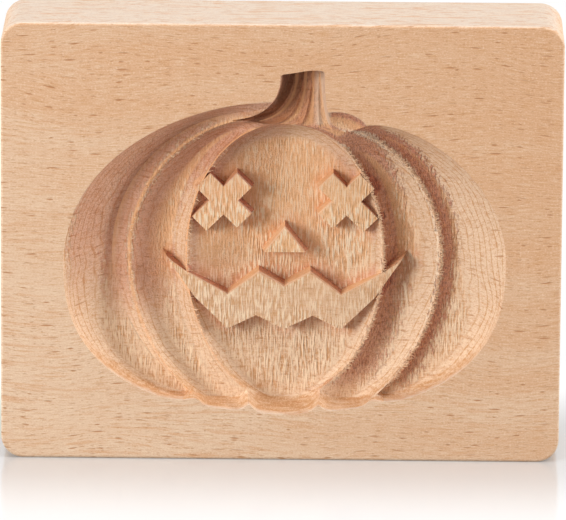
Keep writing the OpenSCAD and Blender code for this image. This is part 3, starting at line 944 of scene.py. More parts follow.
class Nodes:
    """Adds nodes to a tree. An input is a socket to link or a plain value."""

    nodes_in_line = 12
    step = (220, -260)

    def __init__(self, tree):
        self.tree = tree
        self.made = 0

    def add(self, kind, inputs=None, **settings):
        """A new node, laid out in rows, with its inputs and settings."""
        node = self.tree.nodes.new(kind)
        line, place = divmod(self.made, self.nodes_in_line)
        node.location = (self.step[0] * place, self.step[1] * line)
        self.made += 1
        for name, value in settings.items():
            setattr(node, name, value)
        for key, value in (inputs or {}).items():
            self.feed(node.inputs[key], value)
        return node

    def feed(self, socket, value):
        if isinstance(value, bpy.types.NodeSocket):
            self.tree.links.new(value, socket)
        else:
            socket.default_value = value

    def math(self, operation, a, b=None, clamp=False):
        node = self.add("ShaderNodeMath", {0: a}, operation=operation, use_clamp=clamp)
        if b is not None:
            self.feed(node.inputs[1], b)
        return node.outputs[0]

    def vector(self, operation, a, b=None):
        node = self.add("ShaderNodeVectorMath", {0: a}, operation=operation)
        if b is not None:
            self.feed(node.inputs["Scale"] if operation == "SCALE" else node.inputs[1], b)
        return node.outputs["Vector"]

    def ramp(self, value, low, high, start=0.0, end=1.0):
        """A smooth change from start to end while the value goes from low to high."""
        inputs = {0: value, 1: low, 2: high, 3: start, 4: end}
        node = self.add("ShaderNodeMapRange", inputs, interpolation_type="SMOOTHSTEP")
        return node.outputs[0]

    def band(self, value, start, full, fade, end):
        """One between full and fade, and nought before start and past end."""
        rise = self.ramp(value, start, full)
        return self.product(rise, self.ramp(value, fade, end, 1.0, 0.0))

    def product(self, *values):
        """All the values multiplied."""
        return reduce(lambda a, b: self.math("MULTIPLY", a, b), values)

    def total(self, *values):
        """All the values added."""
        return reduce(lambda a, b: self.math("ADD", a, b), values)

    def rest(self, share):
        """What a share leaves of one."""
        return self.math("SUBTRACT", 1.0, share)

    def blend(self, factor, a, b, kind="MIX"):
        """A mix of two colours, whose sockets are the node's seventh and eighth."""
        inputs = {0: factor, 6: a, 7: b}
        return self.add("ShaderNodeMix", inputs, data_type="RGBA", blend_type=kind).outputs[2]

    def noise(self, position, size, detail=2.0, roughness=0.5):
        """Noise whose features have a size in millimetres along x, y and z."""
        scaled = self.vector("DIVIDE", position, size)
        inputs = {"Vector": scaled, "Scale": 1.0, "Detail": detail, "Roughness": roughness}
        return self.add("ShaderNodeTexNoise", inputs).outputs[0]


def new_group(name, inputs, outputs, tree_type="ShaderNodeTree"):
    """A node group with named sockets: its tools, what it is given and what it puts out."""
    tree = bpy.data.node_groups.new(name, tree_type)
    for way, sockets in (("INPUT", inputs), ("OUTPUT", outputs)):
        for label, kind in sockets:
            tree.interface.new_socket(name=label, in_out=way, socket_type="NodeSocket" + kind)
    nodes = Nodes(tree)
    return nodes, nodes.add("NodeGroupInput").outputs, nodes.add("NodeGroupOutput").inputs


# Millimetres between growth rings, how far they wander, and how they tilt towards the right
RING_PITCH = 0.95
RING_WANDER = 5.0
RING_TILT = 0.02
# Millimetres by which the grain drifts up and down
GRAIN_DRIFT = 1.2
# The shortest and the palest dash, as shares of the longest and the darkest, and their taper
SHORTEST_DASH = 0.35
PALEST_DASH = 0.3
DASH_TAPER = 1.6
CARVED_ROUGHNESS = 0.75
TORN_ROUGHNESS = 0.8


def grain_group():
    """Streaks, lines and fine grain along X, broad bands, and growth rings that wander.

    Wavy is the position with the drift that all of them share.
    """
    nodes, given, out = new_group(
        "beech_grain",
        [("Position", "Vector")],
        [("Wavy", "Vector"), ("Streak", "Float"), ("Line", "Float"), ("Grain", "Float"),
         ("Band", "Float"), ("Rings", "Float")],
    )
    position = given["Position"]
    drift = nodes.ramp(nodes.noise(position, (24, 14, 16), 0), 0.2, 0.8, -GRAIN_DRIFT, GRAIN_DRIFT)
    drift = nodes.add("ShaderNodeCombineXYZ", {"Z": drift})
    position = nodes.vector("ADD", position, drift.outputs[0])
    nodes.feed(out["Wavy"], position)
    nodes.feed(out["Streak"], nodes.noise(position, (2.8, 0.5, 0.22), 3, 0.62))
    nodes.feed(out["Line"], nodes.noise(position, (9, 1.2, 0.65)))
    nodes.feed(out["Grain"], nodes.noise(position, (0.34, 0.2, 0.19), 2, 0.6))
    nodes.feed(out["Band"], nodes.noise(position, (42, 9, 7)))
    axes = nodes.add("ShaderNodeSeparateXYZ", {0: position}).outputs
    wander = nodes.product(nodes.noise(position, (26, 9, 15)), RING_WANDER)
    level = nodes.total(axes["Y"], wander, nodes.product(axes["X"], RING_TILT))
    wave = nodes.math("SINE", nodes.product(level, 2 * math.pi / RING_PITCH))
    nodes.feed(out["Rings"], nodes.ramp(wave, 0.72, 1.0))
    return nodes.tree


def dash_group():
    """Short dashes along X that taper to both ends, in a share of the cells of a pattern."""
    nodes, given, out = new_group(
        "beech_dashes",
        [("Position", "Vector"), ("Cell", "Vector"), ("Half Length", "Float"),
         ("Half Width", "Float"), ("Share", "Float")],
        [("Dash", "Float")],
    )
    scaled = nodes.vector("DIVIDE", given["Position"], given["Cell"])
    cells = nodes.add(
        "ShaderNodeTexVoronoi", {"Vector": scaled, "Scale": 1.0, "Randomness": 1.0},
        voronoi_dimensions="3D", feature="F1",
    )
    offset = nodes.vector("SUBTRACT", scaled, cells.outputs["Position"])
    offset = nodes.vector("MULTIPLY", offset, given["Cell"])
    axes = nodes.add("ShaderNodeSeparateXYZ", {0: offset}).outputs
    lots = nodes.add("ShaderNodeSeparateColor", {0: cells.outputs["Color"]}).outputs
    reach = nodes.product(given["Half Length"], nodes.ramp(lots[1], 0, 1, SHORTEST_DASH, 1))
    along = nodes.math("DIVIDE", nodes.math("ABSOLUTE", axes["X"]), reach)
    over = nodes.math("DIVIDE", nodes.math("ABSOLUTE", axes["Z"]), given["Half Width"])
    over = nodes.total(over, nodes.math("POWER", along, DASH_TAPER))
    present = nodes.math("LESS_THAN", lots[0], given["Share"])
    strength = nodes.ramp(lots[2], 0, 1, PALEST_DASH, 1)
    nodes.feed(out["Dash"], nodes.product(nodes.ramp(over, 0.3, 1, 1, 0), present, strength))
    return nodes.tree


def place_group(nodes, tree, inputs):
    """Places a node group with its own values, and gives its outputs."""
    node = nodes.add("ShaderNodeGroup", node_tree=tree)
    for key, value in inputs.items():
        nodes.feed(node.inputs[key], value)
    return node.outputs


def opaque(rgb):
    """A colour's red, green and blue as a shader's colour."""
    return (*rgb, 1.0)


def emptied_tree(owner):
    """The tools for a material's or a world's node tree, which is emptied first."""
    owner.use_nodes = True
    owner.node_tree.nodes.clear()
    return Nodes(owner.node_tree)


def new_material(name):
    """A material with a tree that holds only a Principled BSDF, and its tools."""
    material = bpy.data.materials.new(name)
    nodes = emptied_tree(material)
    surface = nodes.add("ShaderNodeBsdfPrincipled")
    nodes.add("ShaderNodeOutputMaterial", {"Surface": surface.outputs[0]})
    return material, nodes, surface


# The numbers in the functions below are places on the block or gaps in millimetres, shares of a
# face's turn towards an axis, values of a pattern, and last the most that a coat covers


class Coats:
    """The wood's colour at each point, laid on in coats. Masks and shares say how thickly."""

    def __init__(self, nodes, wood, warmth):
        self.nodes = nodes
        self.wood = wood
        self.tone = nodes.blend(warmth, opaque(wood.pale), opaque(wood.warm))

    def lay(self, name, *shares, kind="MIX"):
        """Lays one of the wood's colours over the coats so far."""
        coat = opaque(getattr(self.wood, name))
        self.tone = self.nodes.blend(self.nodes.product(*shares), self.tone, coat, kind)

    def tint(self, name, *shares):
        """Darkens the coats so far with one of the wood's colours."""
        self.lay(name, *shares, kind="MULTIPLY")


def wood_places(nodes):
    """Where a point lies, in millimetres, which way it faces and what the mesh says about it."""
    place = nodes.add("ShaderNodeTexCoord").outputs
    position = nodes.vector("SCALE", place["Object"], 1 / MM)
    axes = nodes.add("ShaderNodeSeparateXYZ", {0: position}).outputs
    facing = nodes.add("ShaderNodeSeparateXYZ", {0: place["Normal"]}).outputs
    marks = {
        name: nodes.add("ShaderNodeAttribute", attribute_name=name).outputs["Fac"] for name in MARKS
    }
    at = SimpleNamespace(
        position=position, x=axes["X"], z=axes["Z"],
        face_x=facing["X"], face_y=facing["Y"], face_z=facing["Z"], **marks,
    )
    at.plain = nodes.rest(at.carved)
    at.lobe = nodes.product(at.carved, nodes.ramp(at.plate, 0.9, 1, 1, 0))
    at.speckle = nodes.noise(position, (0.26, 0.5, 0.8), 2, 0.65)
    left_side = nodes.total(at.x, nodes.ramp(at.z, 60.5, 64, 7.5, 1.0))
    at.stem = nodes.product(
        nodes.ramp(at.z, 60.8, 61.6), nodes.ramp(left_side, -0.4, 0.4), nodes.ramp(at.x, 9, 8.2),
        at.carved,
    )
    return at


def first_coats(nodes, at, grain, wood):
    """Pale wood, warmer towards the upper right in bands. Painted light pales the carving on the
    right and low down, a painted sheen greys the upper side, and a painted highlight pales the eased
    edges and the sides.
    """
    slant = nodes.total(
        nodes.product(at.x, 0.6), at.z, nodes.ramp(grain["Band"], 0.3, 0.7, -26, 26)
    )
    warmth = nodes.product(nodes.ramp(slant, -30, 105), nodes.ramp(at.carved, 0, 1, 1, 0.35))
    coats = Coats(nodes, wood, warmth)
    # Painted light: the carving paler on the right and low down, where it faces the lamps
    painted_light = nodes.math("MAXIMUM", nodes.ramp(at.x, 22, 34), nodes.ramp(at.z, 32, 16))
    coats.lay("light", painted_light, at.carved, 0.4)
    # Painted sheen: the upper side greyer and paler
    coats.lay("side", nodes.ramp(at.face_z, 0.5, 0.9), at.plain, 0.85)
    # Painted highlight on the eased edges and on the sides that turn away from the front
    eased = nodes.ramp(nodes.math("ABSOLUTE", at.face_y), 0.97, 0.75)
    coats.lay("light", eased, at.plain, 0.55)
    return coats


# A pattern of the grain, where its coat starts and is full, the most of it, and its colour
GRAIN_COATS = (
    ("Line", 0.5, 0.72, 0.75, "warm"),
    ("Streak", 0.5, 0.7, 0.6, "ring"),
    ("Streak", 0.5, 0.3, 0.4, "light"),
    ("Grain", 0.5, 0.78, 0.6, "light"),
)


def lay_grain(nodes, at, grain, coats):
    """Streaks along the wood, and fine grain that shows twice as much where it is carved."""
    for pattern, start, full, most, name in GRAIN_COATS:
        coats.lay(name, nodes.ramp(grain[pattern], start, full, 0, most))
    fine = nodes.ramp(grain["Grain"], 0.52, 0.24, 0, 0.35)
    coats.lay("ring", nodes.total(fine, nodes.product(fine, at.carved)))


BOLD_FLECKS = {"Cell": (4.2, 3.2, 1.4), "Half Length": 1.7, "Half Width": 0.2, "Share": 0.42}
FAINT_FLECKS = {"Cell": (1.7, 1.4, 0.5), "Half Length": 0.9, "Half Width": 0.12, "Share": 0.5}
FAINT_SHIFT = (31.0, 17.0, 11.0)


def lay_flecks(nodes, at, grain, dashes, coats):
    """Short flecks of two sizes along the wood, on all but the upper and lower sides."""
    wavy = grain["Wavy"]
    shifted = nodes.vector("ADD", wavy, FAINT_SHIFT)
    bold = place_group(nodes, dashes, {"Position": wavy, **BOLD_FLECKS})["Dash"]
    faint = place_group(nodes, dashes, {"Position": shifted, **FAINT_FLECKS})["Dash"]
    flecks = nodes.math("ADD", nodes.product(bold, 0.9), nodes.product(faint, 0.55), clamp=True)
    upright = nodes.ramp(nodes.math("ABSOLUTE", at.face_z), 0.95, 0.5)
    flecks = nodes.product(flecks, upright, nodes.ramp(at.carved, 0, 1, 1, 0.85))
    coats.lay("fleck", flecks)
    return flecks


def lay_rings(nodes, at, grain, coats):
    """Growth rings where the carving cuts across them, and darker wood on the bottom wall."""
    slope = nodes.ramp(nodes.math("ABSOLUTE", at.face_y), 0.7, 0.99, 1, 0.3)
    patchy = nodes.ramp(grain["Line"], 0.35, 0.6, 0.35, 0.9)
    coats.lay("ring", grain["Rings"], slope, at.lobe, patchy)
    patchy = nodes.ramp(grain["Line"], 0.35, 0.6, 0.3, 0.8)
    coats.lay("ring", nodes.ramp(at.face_z, 0.45, 0.8), at.carved, patchy)


def shade_and_stain_amount(nodes, at, outer_gap, mid_gap):
    """Where the flanks of the ridges get painted shade with some end-grain staining: mauve-brown
    bands that fade to the bottom.
    """
    left = nodes.ramp(at.x, -1.4, 2.6, 1.0, 0.0)
    right = nodes.rest(left)
    upper = nodes.ramp(at.z, 20, 34)
    low = nodes.ramp(at.z, 10, 16)
    eyes = nodes.band(at.z, 38, 44, 53, 60)
    bands = (
        (left, upper, nodes.band(outer_gap, 1.4, 3.0, 4.2, 6.4), 0.72),
        (left, upper, nodes.band(outer_gap, -0.1, 0.9, 2.2, 3.6), 0.6),
        (left, upper, nodes.band(outer_gap, -9.0, -5.0, -1.2, -0.3), 0.68),
        (left, upper, nodes.band(mid_gap, -13.0, -7.0, -2.0, -0.3), 0.35),
        (left, eyes, nodes.band(mid_gap, -12.0, -8.0, -1.6, -0.4), 0.6),
        (left, nodes.ramp(at.z, 24, 42), nodes.band(outer_gap, 3.6, 5.8, 11.0, 12.5), 0.55),
        (right, low, nodes.band(mid_gap, -0.2, 0.4, 4.4, 6.2), 0.85),
        (right, low, nodes.band(outer_gap, -0.2, 0.3, 2.3, 3.8), 1.0),
        (right, eyes, nodes.band(mid_gap, -9.0, -6.0, -2.0, -0.6), 0.25),
        (nodes.band(at.x, -15, -11, 4, 8), nodes.ramp(at.z, 60, 63), 1.0, 0.45),
        (nodes.band(at.x, 8, 9.5, 17, 18), nodes.ramp(at.z, 59.5, 61), 1.0, 0.85),
    )
    most = 0.0
    for shares in bands:
        most = nodes.math("MAXIMUM", most, nodes.product(*shares))
    return most


def lay_shade_and_stain(nodes, at, coats):
    """Painted shade, with some end-grain staining, on the flanks of the ridges, on the stem and round
    the raised face.
    """
    ragged = nodes.ramp(nodes.noise(at.position, (0.4, 0.9, 1.5), 2, 0.6), 0.2, 0.8, -1.3, 1.3)
    gaps = [nodes.total(gap, ragged) for gap in (at.outer_gap, at.mid_gap)]
    shade_and_stain = nodes.product(shade_and_stain_amount(nodes, at, *gaps), at.lobe)
    shade_and_stain = nodes.math("MAXIMUM", shade_and_stain, nodes.product(at.stem, 0.9))
    coats.tint("shade_and_stain", shade_and_stain)
    # Painted shade round the raised face, reaching farthest to its right, where its shadow falls
    shade_halo = nodes.ramp(nodes.total(at.plate_gap, ragged), 1.0, 4.8, 1, 0)
    level = nodes.ramp(at.face_y, -0.8, -0.95)
    height = nodes.ramp(at.z, 22, 34, 0.4, 0.9)
    coats.tint("shade_and_stain", shade_halo, at.lobe, height, nodes.rest(shade_and_stain), level)
    return shade_and_stain


def lay_walls(nodes, at, grain, coats):
    """The walls of the raised face: painted light on those facing left, painted shade with torn end
    grain on those facing right, paler along their top rims.
    """
    steep = nodes.ramp(at.face_y, -0.9, -0.75)
    wall = nodes.product(nodes.ramp(at.plate_gap, 1.6, 1.2), steep, at.carved)
    # Painted light on the walls that face the key lamp on the left
    bright = nodes.product(wall, nodes.ramp(at.face_x, -0.15, -0.4), 0.4)
    coats.lay("crest", bright)
    coats.lay("ring", bright, grain["Rings"], 0.5)
    # Painted shade with torn end grain on the walls that face right, away from the key lamp
    rough = nodes.product(wall, nodes.ramp(at.face_x, 0.15, 0.4))
    coats.tint("shade_and_stain", rough)
    coats.lay("deep", rough, nodes.ramp(at.speckle, 0.6, 0.35), 0.8)
    coats.lay("light", nodes.band(at.plate, 0.66, 0.82, 0.96, 1.0), at.carved, 0.6)


def lay_speckle(nodes, at, shade_and_stain, coats):
    """Upright pale and dark streaks where the flanks carry painted shade, coarser on the right."""
    coarse = nodes.product(shade_and_stain, nodes.ramp(at.x, -4, 6, 0.35, 1))
    coats.lay("crest", coarse, nodes.ramp(at.speckle, 0.5, 0.68), 0.4)
    coats.lay("deep", coarse, nodes.ramp(at.speckle, 0.5, 0.3), 0.62)


def lay_crests(nodes, at, coats):
    """Crests torn and pale on the right, and a painted highlight along them on the left. The foot is
    pale.

    The flat tops of the mouth and of the left eye get their coats between them.
    """
    gaps = [nodes.math("ABSOLUTE", gap) for gap in (at.outer_gap, at.mid_gap)]
    near = nodes.math("MINIMUM", *gaps)
    ruffle = nodes.ramp(at.speckle, 0.3, 0.7, 0.0, 0.9)
    torn = nodes.ramp(nodes.math("SUBTRACT", near, ruffle), 0.05, 0.25, 0.8, 0)
    coats.lay("light", torn, nodes.ramp(at.x, 6, 12), at.lobe)
    coats.lay("warm", at.plate, at.carved, nodes.ramp(at.z, 42, 40), 0.35)
    # The same tint darkens the left eye's flat top
    coats.tint("shade_and_stain", at.plate, nodes.ramp(at.x, 2, -4), nodes.ramp(at.z, 42, 46), 0.5)
    # Painted highlight on the left crests, which face the key lamp
    left = nodes.product(nodes.ramp(at.x, 0, -8), at.lobe, nodes.ramp(at.z, 20, 42, 0.35, 0.8))
    coats.lay("crest", nodes.ramp(near, 0.15, 0.65, 1, 0), left)
    foot = nodes.product(nodes.ramp(at.z, 28, 15), nodes.ramp(at.speckle, 0.48, 0.62))
    coats.lay("torn", foot, at.carved, 0.4)


def lay_stem(nodes, at, coats):
    """The stem gets painted shade high on the left, under its cut end and left wall, and a painted
    highlight along its right side.
    """
    coats.lay("ring", at.stem, 0.35)
    # Painted shade, darkest high on the left
    shade = nodes.ramp(nodes.math("SUBTRACT", at.z, nodes.product(at.x, 1.5)), 60, 73)
    coats.lay("deep", shade, nodes.ramp(at.speckle, 0.7, 0.3, 0.7, 1.0), at.stem)
    # Painted highlight along the right side, which faces the key lamp
    coats.lay("light", nodes.ramp(at.x, 5.2, 6.6), at.stem, 0.6)


def lay_cutter_lines(nodes, at, shade_and_stain, coats):
    """Upright lines that the cutter left on the level floors, which get a painted warm glow of bounce
    light higher up. Gives the lines' relief.
    """
    level = nodes.product(nodes.ramp(at.face_y, -0.88, -0.97), at.carved)
    # Painted warm bounce light on the level floors, more of it higher up
    coats.lay("crest", level, nodes.ramp(at.z, 28, 40, 0.1, 0.65))
    lines = nodes.noise(at.position, (0.27, 4, 2.2), 1)
    patch = nodes.ramp(nodes.noise(at.position, (9, 9, 7), 1), 0.4, 0.6, 0.6, 1.1)
    level = nodes.product(level, patch, nodes.rest(shade_and_stain))
    pale = nodes.ramp(at.speckle, 0.3, 0.5, 0.5, 1)
    dark = nodes.ramp(at.speckle, 0.65, 0.4, 0.1, 0.75)
    coats.lay("torn", nodes.ramp(lines, 0.51, 0.59), pale, level)
    coats.lay("ring", nodes.ramp(lines, 0.48, 0.38), level, dark)
    return nodes.product(lines, level)


def wood_relief(nodes, at, grain, flecks, shade_and_stain, lines):
    """Height of the fine relief, in millimetres."""
    rough = nodes.product(nodes.total(shade_and_stain, 0.6), at.carved)
    rough = nodes.product(grain["Grain"], nodes.math("MAXIMUM", rough, 0.2), 0.2)
    sunk = nodes.math("SUBTRACT", nodes.product(grain["Streak"], 0.02), nodes.product(flecks, 0.05))
    torn = nodes.product(at.speckle, shade_and_stain, 0.4)
    return nodes.total(sunk, nodes.product(lines, 0.34), rough, torn)


def beech_material(wood, groups):
    """Sanded and carved beech: grain, flecks, growth rings, cutter lines, and painted light and shade
    with end-grain staining on the flanks and walls.
    """
    material, nodes, surface = new_material("carved_beech")
    at = wood_places(nodes)
    grain = place_group(nodes, groups["grain"], {"Position": at.position})
    coats = first_coats(nodes, at, grain, wood)
    lay_grain(nodes, at, grain, coats)
    flecks = lay_flecks(nodes, at, grain, groups["dashes"], coats)
    lay_rings(nodes, at, grain, coats)
    shade_and_stain = lay_shade_and_stain(nodes, at, coats)
    lay_walls(nodes, at, grain, coats)
    lay_speckle(nodes, at, shade_and_stain, coats)
    lay_crests(nodes, at, coats)
    lay_stem(nodes, at, coats)
    lines = lay_cutter_lines(nodes, at, shade_and_stain, coats)
    relief = wood_relief(nodes, at, grain, flecks, shade_and_stain, lines)
    bump = nodes.add("ShaderNodeBump", {"Strength": 1.0, "Distance": MM, "Height": relief})
    nodes.feed(surface.inputs["Base Color"], coats.tone)
    roughness = nodes.ramp(at.carved, 0, 1, wood.gloss, CARVED_ROUGHNESS)
    nodes.feed(surface.inputs["Roughness"], roughness)
    nodes.feed(surface.inputs["Normal"], bump.outputs[0])
    return material


def fibre_material(wood, groups):
    """Lifted fibres: paler than the wood that they come from."""
    material, nodes, surface = new_material("torn_beech")
    position = nodes.vector("SCALE", nodes.add("ShaderNodeTexCoord").outputs["Object"], 1 / MM)
    grain = place_group(nodes, groups["grain"], {"Position": position})
    tone = nodes.blend(nodes.ramp(grain["Grain"], 0.35, 0.65), opaque(wood.torn), opaque(wood.warm))
    nodes.feed(surface.inputs["Base Color"], tone)
    surface.inputs["Roughness"].default_value = TORN_ROUGHNESS
    return material


# Torn fibres

# Low and high ends of the fibres' stray from the crest, their turn in radians and their scale
STRAY = ((-1.6, -0.35, -1), (1.0, 0.35, 1))
TURN = ((0.1, 0.7, -0.5), (1.2, 2.2, 0.9))
SCALE = ((0.6, 0.6, 0.25), (1.2, 1.2, 1.0))
# Radius of a fibre's tip, as a share of its root's
TIP = 0.25
# Where fibres start and end along a ridge, 0 under the stem and 2 at the foot, and their fades
FIRST_Q, LAST_Q = 0.25, 1.95
FIRST_FADE, LAST_FADE = 0.3, 0.15


def fibre_tree(material):
    """Scatters thin splinters along the edges of a mesh, in a share of places given by 'keep'."""
    nodes, given, out = new_group(
        "torn_fibres",
        [("Geometry", "Geometry"), ("Spacing", "Float"), ("Length", "Float"),
         ("Radius", "Float"), ("Spread", "Float"), ("Seed", "Int")],
        [("Geometry", "Geometry")], "GeometryNodeTree",
    )
    curve = nodes.add("GeometryNodeMeshToCurve", {"Mesh": given["Geometry"]})
    points = nodes.add(
        "GeometryNodeCurveToPoints", {"Curve": curve.outputs[0], "Length": given["Spacing"]},
        mode="LENGTH",
    )

    def lot(kind, low, high, turn):
        """A random value for each point, with its own turn of the seed."""
        node = nodes.add("FunctionNodeRandomValue", data_type=kind)
        ends = [socket for socket in node.inputs if socket.enabled]
        nodes.feed(ends[0], low)
        nodes.feed(ends[1], high)
        nodes.feed(node.inputs["Seed"], nodes.math("ADD", given["Seed"], float(turn)))
        return next(o for o in node.outputs if o.enabled)

    stray = nodes.vector("SCALE", lot("FLOAT_VECTOR", *STRAY, 1), given["Spread"])
    moved = nodes.add(
        "GeometryNodeSetPosition", {"Geometry": points.outputs["Points"], "Offset": stray}
    )
    keep = nodes.add("GeometryNodeInputNamedAttribute", {"Name": "keep"}, data_type="FLOAT")
    chosen = nodes.add(
        "FunctionNodeCompare", {0: lot("FLOAT", 0.0, 1.0, 2), 1: keep.outputs["Attribute"]},
        data_type="FLOAT", operation="LESS_THAN",
    )
    splinter = nodes.add("GeometryNodeMeshCone", {
        "Vertices": 4, "Side Segments": 2, "Fill Segments": 1,
        "Radius Top": nodes.product(given["Radius"], TIP), "Radius Bottom": given["Radius"],
        "Depth": given["Length"],
    })
    scattered = nodes.add("GeometryNodeInstanceOnPoints", {
        "Points": moved.outputs[0], "Selection": chosen.outputs[0],
        "Instance": splinter.outputs["Mesh"], "Rotation": lot("FLOAT_VECTOR", *TURN, 3),
        "Scale": lot("FLOAT_VECTOR", *SCALE, 4),
    })
    whole = nodes.add("GeometryNodeRealizeInstances", {"Geometry": scattered.outputs[0]})
    dressed = nodes.add(
        "GeometryNodeSetMaterial", {"Geometry": whole.outputs[0], "Material": material}
    )
    nodes.feed(out["Geometry"], dressed.outputs[0])
    return nodes.tree


def set_inputs(modifier, values):
    """Sets a Geometry Nodes modifier's inputs by their sockets' identifiers."""
    for item in modifier.node_group.interface.items_tree:
        if item.item_type == "SOCKET" and item.in_out == "INPUT" and item.name in values:
            modifier[item.identifier] = values[item.name]


def new_ridge_edges(s):
    """The ridges as chains of edges, with the share of fibres to keep: more on the right."""
    lines = lobe_lines(s)
    chains = (
        (lines.mid_ridge, 1, 0.9), (lines.outer_ridge, 1, 0.95),
        (lines.mid_ridge, -1, 0.3), (lines.outer_ridge, -1, 0.25),
    )
    points, edges, keep = [], [], []
    for line, side, most in chains:
        path = ridge_path(s, line, side)
        first = len(points)
        for i, p in enumerate(path):
            q = 2 * (i + 1) / len(path)
            fades = smooth_step((q - FIRST_Q) / FIRST_FADE) * smooth_step((LAST_Q - q) / LAST_FADE)
            points.append(tuple(p))
            keep.append(most * fades)
        edges += [(first + i, first + i + 1) for i in range(len(path) - 1)]
    obj = new_object("ridge_fibres", points, [], edges)
    write_mark(obj, "keep", keep)
    return obj


# The stage

# The camera's sensor in millimetres, and how near and far it sees
SENSOR_WIDTH = 36.0
CLIP_START, CLIP_END = 0.05, 50.0
# Distance of the lamps, and the direction and width of each
LAMP_DISTANCE = 1.2
LAMPS = {
    "key": ((-0.76, -0.61, 0.22), 0.5), "side": ((0.947, -0.174, 0.271), 0.3),
    "top": ((0, -0.12, 1), 0.9),
}
FLOOR_HALF = 3.0
FLOOR_ROUGHNESS = 0.14
FLOOR_IOR = 1.8
# Share of plain white in the floor at the block
NEAR_WHITE = 0.12
WHITE = (1, 1, 1, 1)
BLACK = (0, 0, 0, 1)


def new_camera(stage):
    """The camera at the photograph's angle."""
    a, e, roll = stage.azimuth, stage.elevation, stage.roll
    target = Vector((0, FRONT_Y, BLOCK_SIZE.z / 2))
    back = Vector((math.sin(a) * math.cos(e), -math.cos(a) * math.cos(e), math.sin(e)))
    right = Vector((math.cos(a), math.sin(a), 0))
    up = back.cross(right)
    tilted_right = math.cos(roll) * right + math.sin(roll) * up
    tilted_up = math.cos(roll) * up - math.sin(roll) * right
    place = target + back * stage.distance
    aim = target + stage.aim_right * tilted_right - stage.aim_down * tilted_up
    z = (place - aim).normalized()
    x = tilted_up.cross(z).normalized()
    y = z.cross(x)
    data = bpy.data.cameras.new("camera")
    data.lens = stage.lens
    data.sensor_width = SENSOR_WIDTH
    data.clip_start = CLIP_START
    data.clip_end = CLIP_END
    camera = place_in_scene("camera", data)
    camera.matrix_world = Matrix.Translation(place) @ Matrix((x, y, z)).transposed().to_4x4()
    bpy.context.scene.camera = camera


def new_lamp(name, direction, size, power):
    """A round soft lamp that looks at the block."""
    data = bpy.data.lights.new(name, "AREA")
    data.shape = "DISK"
    data.size = size
    data.energy = power
    lamp = place_in_scene(name, data)
    way = Vector(direction).normalized()
    lamp.location = Vector((0, 0, BLOCK_SIZE.z / 2)) + way * LAMP_DISTANCE
    lamp.rotation_euler = way.to_track_quat("Z", "Y").to_euler()


def new_world(stage):
    """Soft light from all around, seen as white by the camera and by reflections."""
    world = bpy.data.worlds.new("studio")
    bpy.context.scene.world = world
    nodes = emptied_tree(world)
    path = nodes.add("ShaderNodeLightPath").outputs
    seen = nodes.math("MAXIMUM", path["Is Camera Ray"], path["Is Glossy Ray"])
    seen = nodes.math("MAXIMUM", seen, path["Is Transmission Ray"])
    tint = nodes.blend(seen, opaque(stage.sky), WHITE)
    strength = nodes.ramp(seen, 0, 1, stage.fill, 1.0)
    light = nodes.add("ShaderNodeBackground", {"Color": tint, "Strength": strength})
    nodes.add("ShaderNodeOutputWorld", {"Surface": light.outputs[0]})


def floor_material(stage):
    """A white, slightly glossy floor. It turns plain white far from the block.

    It throws little light back up at the block: the Light Path gives it a darker colour there.
    """
    material, nodes, surface = new_material("pale_floor")
    path = nodes.add("ShaderNodeLightPath").outputs
    seen = nodes.rest(path["Is Diffuse Ray"])
    place = nodes.add("ShaderNodeTexCoord").outputs["Object"]
    reach = nodes.vector("SUBTRACT", nodes.vector("ABSOLUTE", place), BLOCK_SIZE / 2)
    reach = nodes.vector("MAXIMUM", reach, (0.0, 0.0, 0.0))
    reach = nodes.add("ShaderNodeVectorMath", {0: reach}, operation="LENGTH").outputs["Value"]
    far = nodes.product(nodes.ramp(reach, 0, stage.far, NEAR_WHITE), seen)
    tint = nodes.blend(seen, opaque(stage.bounce), opaque(stage.floor))
    nodes.feed(surface.inputs["Base Color"], nodes.blend(far, tint, BLACK))
    nodes.feed(surface.inputs["Specular IOR Level"], nodes.ramp(far, 0, 1, 0.5, 0))
    surface.inputs["Emission Color"].default_value = WHITE
    nodes.feed(surface.inputs["Emission Strength"], far)
    surface.inputs["Roughness"].default_value = FLOOR_ROUGHNESS
    surface.inputs["IOR"].default_value = FLOOR_IOR
    return material


# Operators


class STAMP_OT_block(bpy.types.Operator):
    """Builds the carved block over the frame's solid"""

    bl_idname = "stamp.block"
    bl_label = "Carved block"

    def execute(self, context):
        scene = context.scene
        lobes, face, stem = scene.stamp_lobes, scene.stamp_face, scene.stamp_stem
        block = new_block(scene.stamp_block)
        hollow = new_lobes(lobes)
        cut_away(hollow, new_face(lobes, face))
        cut_away(block, [hollow] + new_stem_cuts(lobes, stem))
        finish_mesh(block)
        mark_points(block, lobes, face.face_depth)
        block.data.materials.clear()
        block.data.materials.append(bpy.data.materials["carved_beech"])
        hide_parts("stamp_block")
        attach(block, "root")
        return {"FINISHED"}


class STAMP_OT_fibres(bpy.types.Operator):
    """Scatters torn fibres along the ridges of the carving"""

    bl_idname = "stamp.fibres"
    bl_label = "Torn fibres"

    def execute(self, context):
        s = context.scene.stamp_fibres
        fibres = new_ridge_edges(context.scene.stamp_lobes)
        modifier = fibres.modifiers.new("torn_fibres", "NODES")
        modifier.node_group = fibre_tree(bpy.data.materials["torn_beech"])
        set_inputs(modifier, {
            "Spacing": s.spacing, "Length": s.fibre_l, "Radius": s.fibre_r,
            "Spread": s.spread, "Seed": s.seed,
        })
        make_plain(fibres)
        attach(fibres, "root")
        return {"FINISHED"}


class STAMP_OT_wood(bpy.types.Operator):
    """Makes the beech materials"""

    bl_idname = "stamp.wood"
    bl_label = "Beech"

    def execute(self, context):
        wood = context.scene.stamp_wood
        groups = {"grain": grain_group(), "dashes": dash_group()}
        beech_material(wood, groups)
        fibre_material(wood, groups)
        return {"FINISHED"}


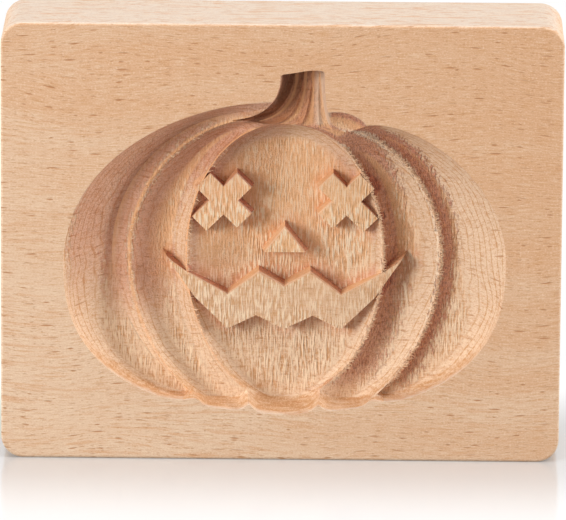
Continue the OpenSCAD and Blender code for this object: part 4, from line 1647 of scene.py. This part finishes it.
class STAMP_OT_stage(bpy.types.Operator):
    """Sets up the floor, the lamps and the camera"""

    bl_idname = "stamp.stage"
    bl_label = "Stage"

    def execute(self, context):
        stage = context.scene.stamp_stage
        half = FLOOR_HALF
        corners = [(-half, -half, 0), (half, -half, 0), (half, half, 0), (-half, half, 0)]
        floor = new_object("floor", corners, [(0, 1, 2, 3)])
        floor.data.materials.append(floor_material(stage))
        for name, (direction, size) in LAMPS.items():
            new_lamp(name, direction, size, getattr(stage, name))
        new_world(stage)
        new_camera(stage)
        context.scene.view_settings.view_transform = "Standard"
        return {"FINISHED"}


class STAMP_PT_panel(bpy.types.Panel):
    """Lists the pieces of the cookie stamp"""

    bl_idname = "STAMP_PT_panel"
    bl_label = "Cookie Stamp"
    bl_space_type = "VIEW_3D"
    bl_region_type = "UI"
    bl_category = "Cookie Stamp"

    def draw(self, context):
        for operator in OPERATORS:
            self.layout.operator(operator.bl_idname)
        for name in SETTINGS:
            box = self.layout.box()
            group = getattr(context.scene, name)
            for field in group.bl_rna.properties:
                if not field.is_readonly and field.identifier != "name":
                    box.prop(group, field.identifier)


SETTINGS = {
    "stamp_block": StampBlockSettings,
    "stamp_lobes": StampLobeSettings,
    "stamp_face": StampFaceSettings,
    "stamp_stem": StampStemSettings,
    "stamp_fibres": StampFibreSettings,
    "stamp_wood": StampWoodSettings,
    "stamp_stage": StampStageSettings,
}
OPERATORS = (STAMP_OT_wood, STAMP_OT_block, STAMP_OT_fibres, STAMP_OT_stage)
CLASSES = (*SETTINGS.values(), *OPERATORS, STAMP_PT_panel)


def register():
    for cls in CLASSES:
        bpy.utils.register_class(cls)
    for name, group in SETTINGS.items():
        setattr(bpy.types.Scene, name, bpy.props.PointerProperty(type=group))


def unregister():
    for name in SETTINGS:
        delattr(bpy.types.Scene, name)
    for cls in reversed(CLASSES):
        bpy.utils.unregister_class(cls)


def main():
    register()
    bpy.ops.stamp.wood()
    bpy.ops.stamp.block()
    bpy.ops.stamp.fibres()
    bpy.ops.stamp.stage()
    bpy.context.view_layer.update()


if __name__ == "__main__":
    main()
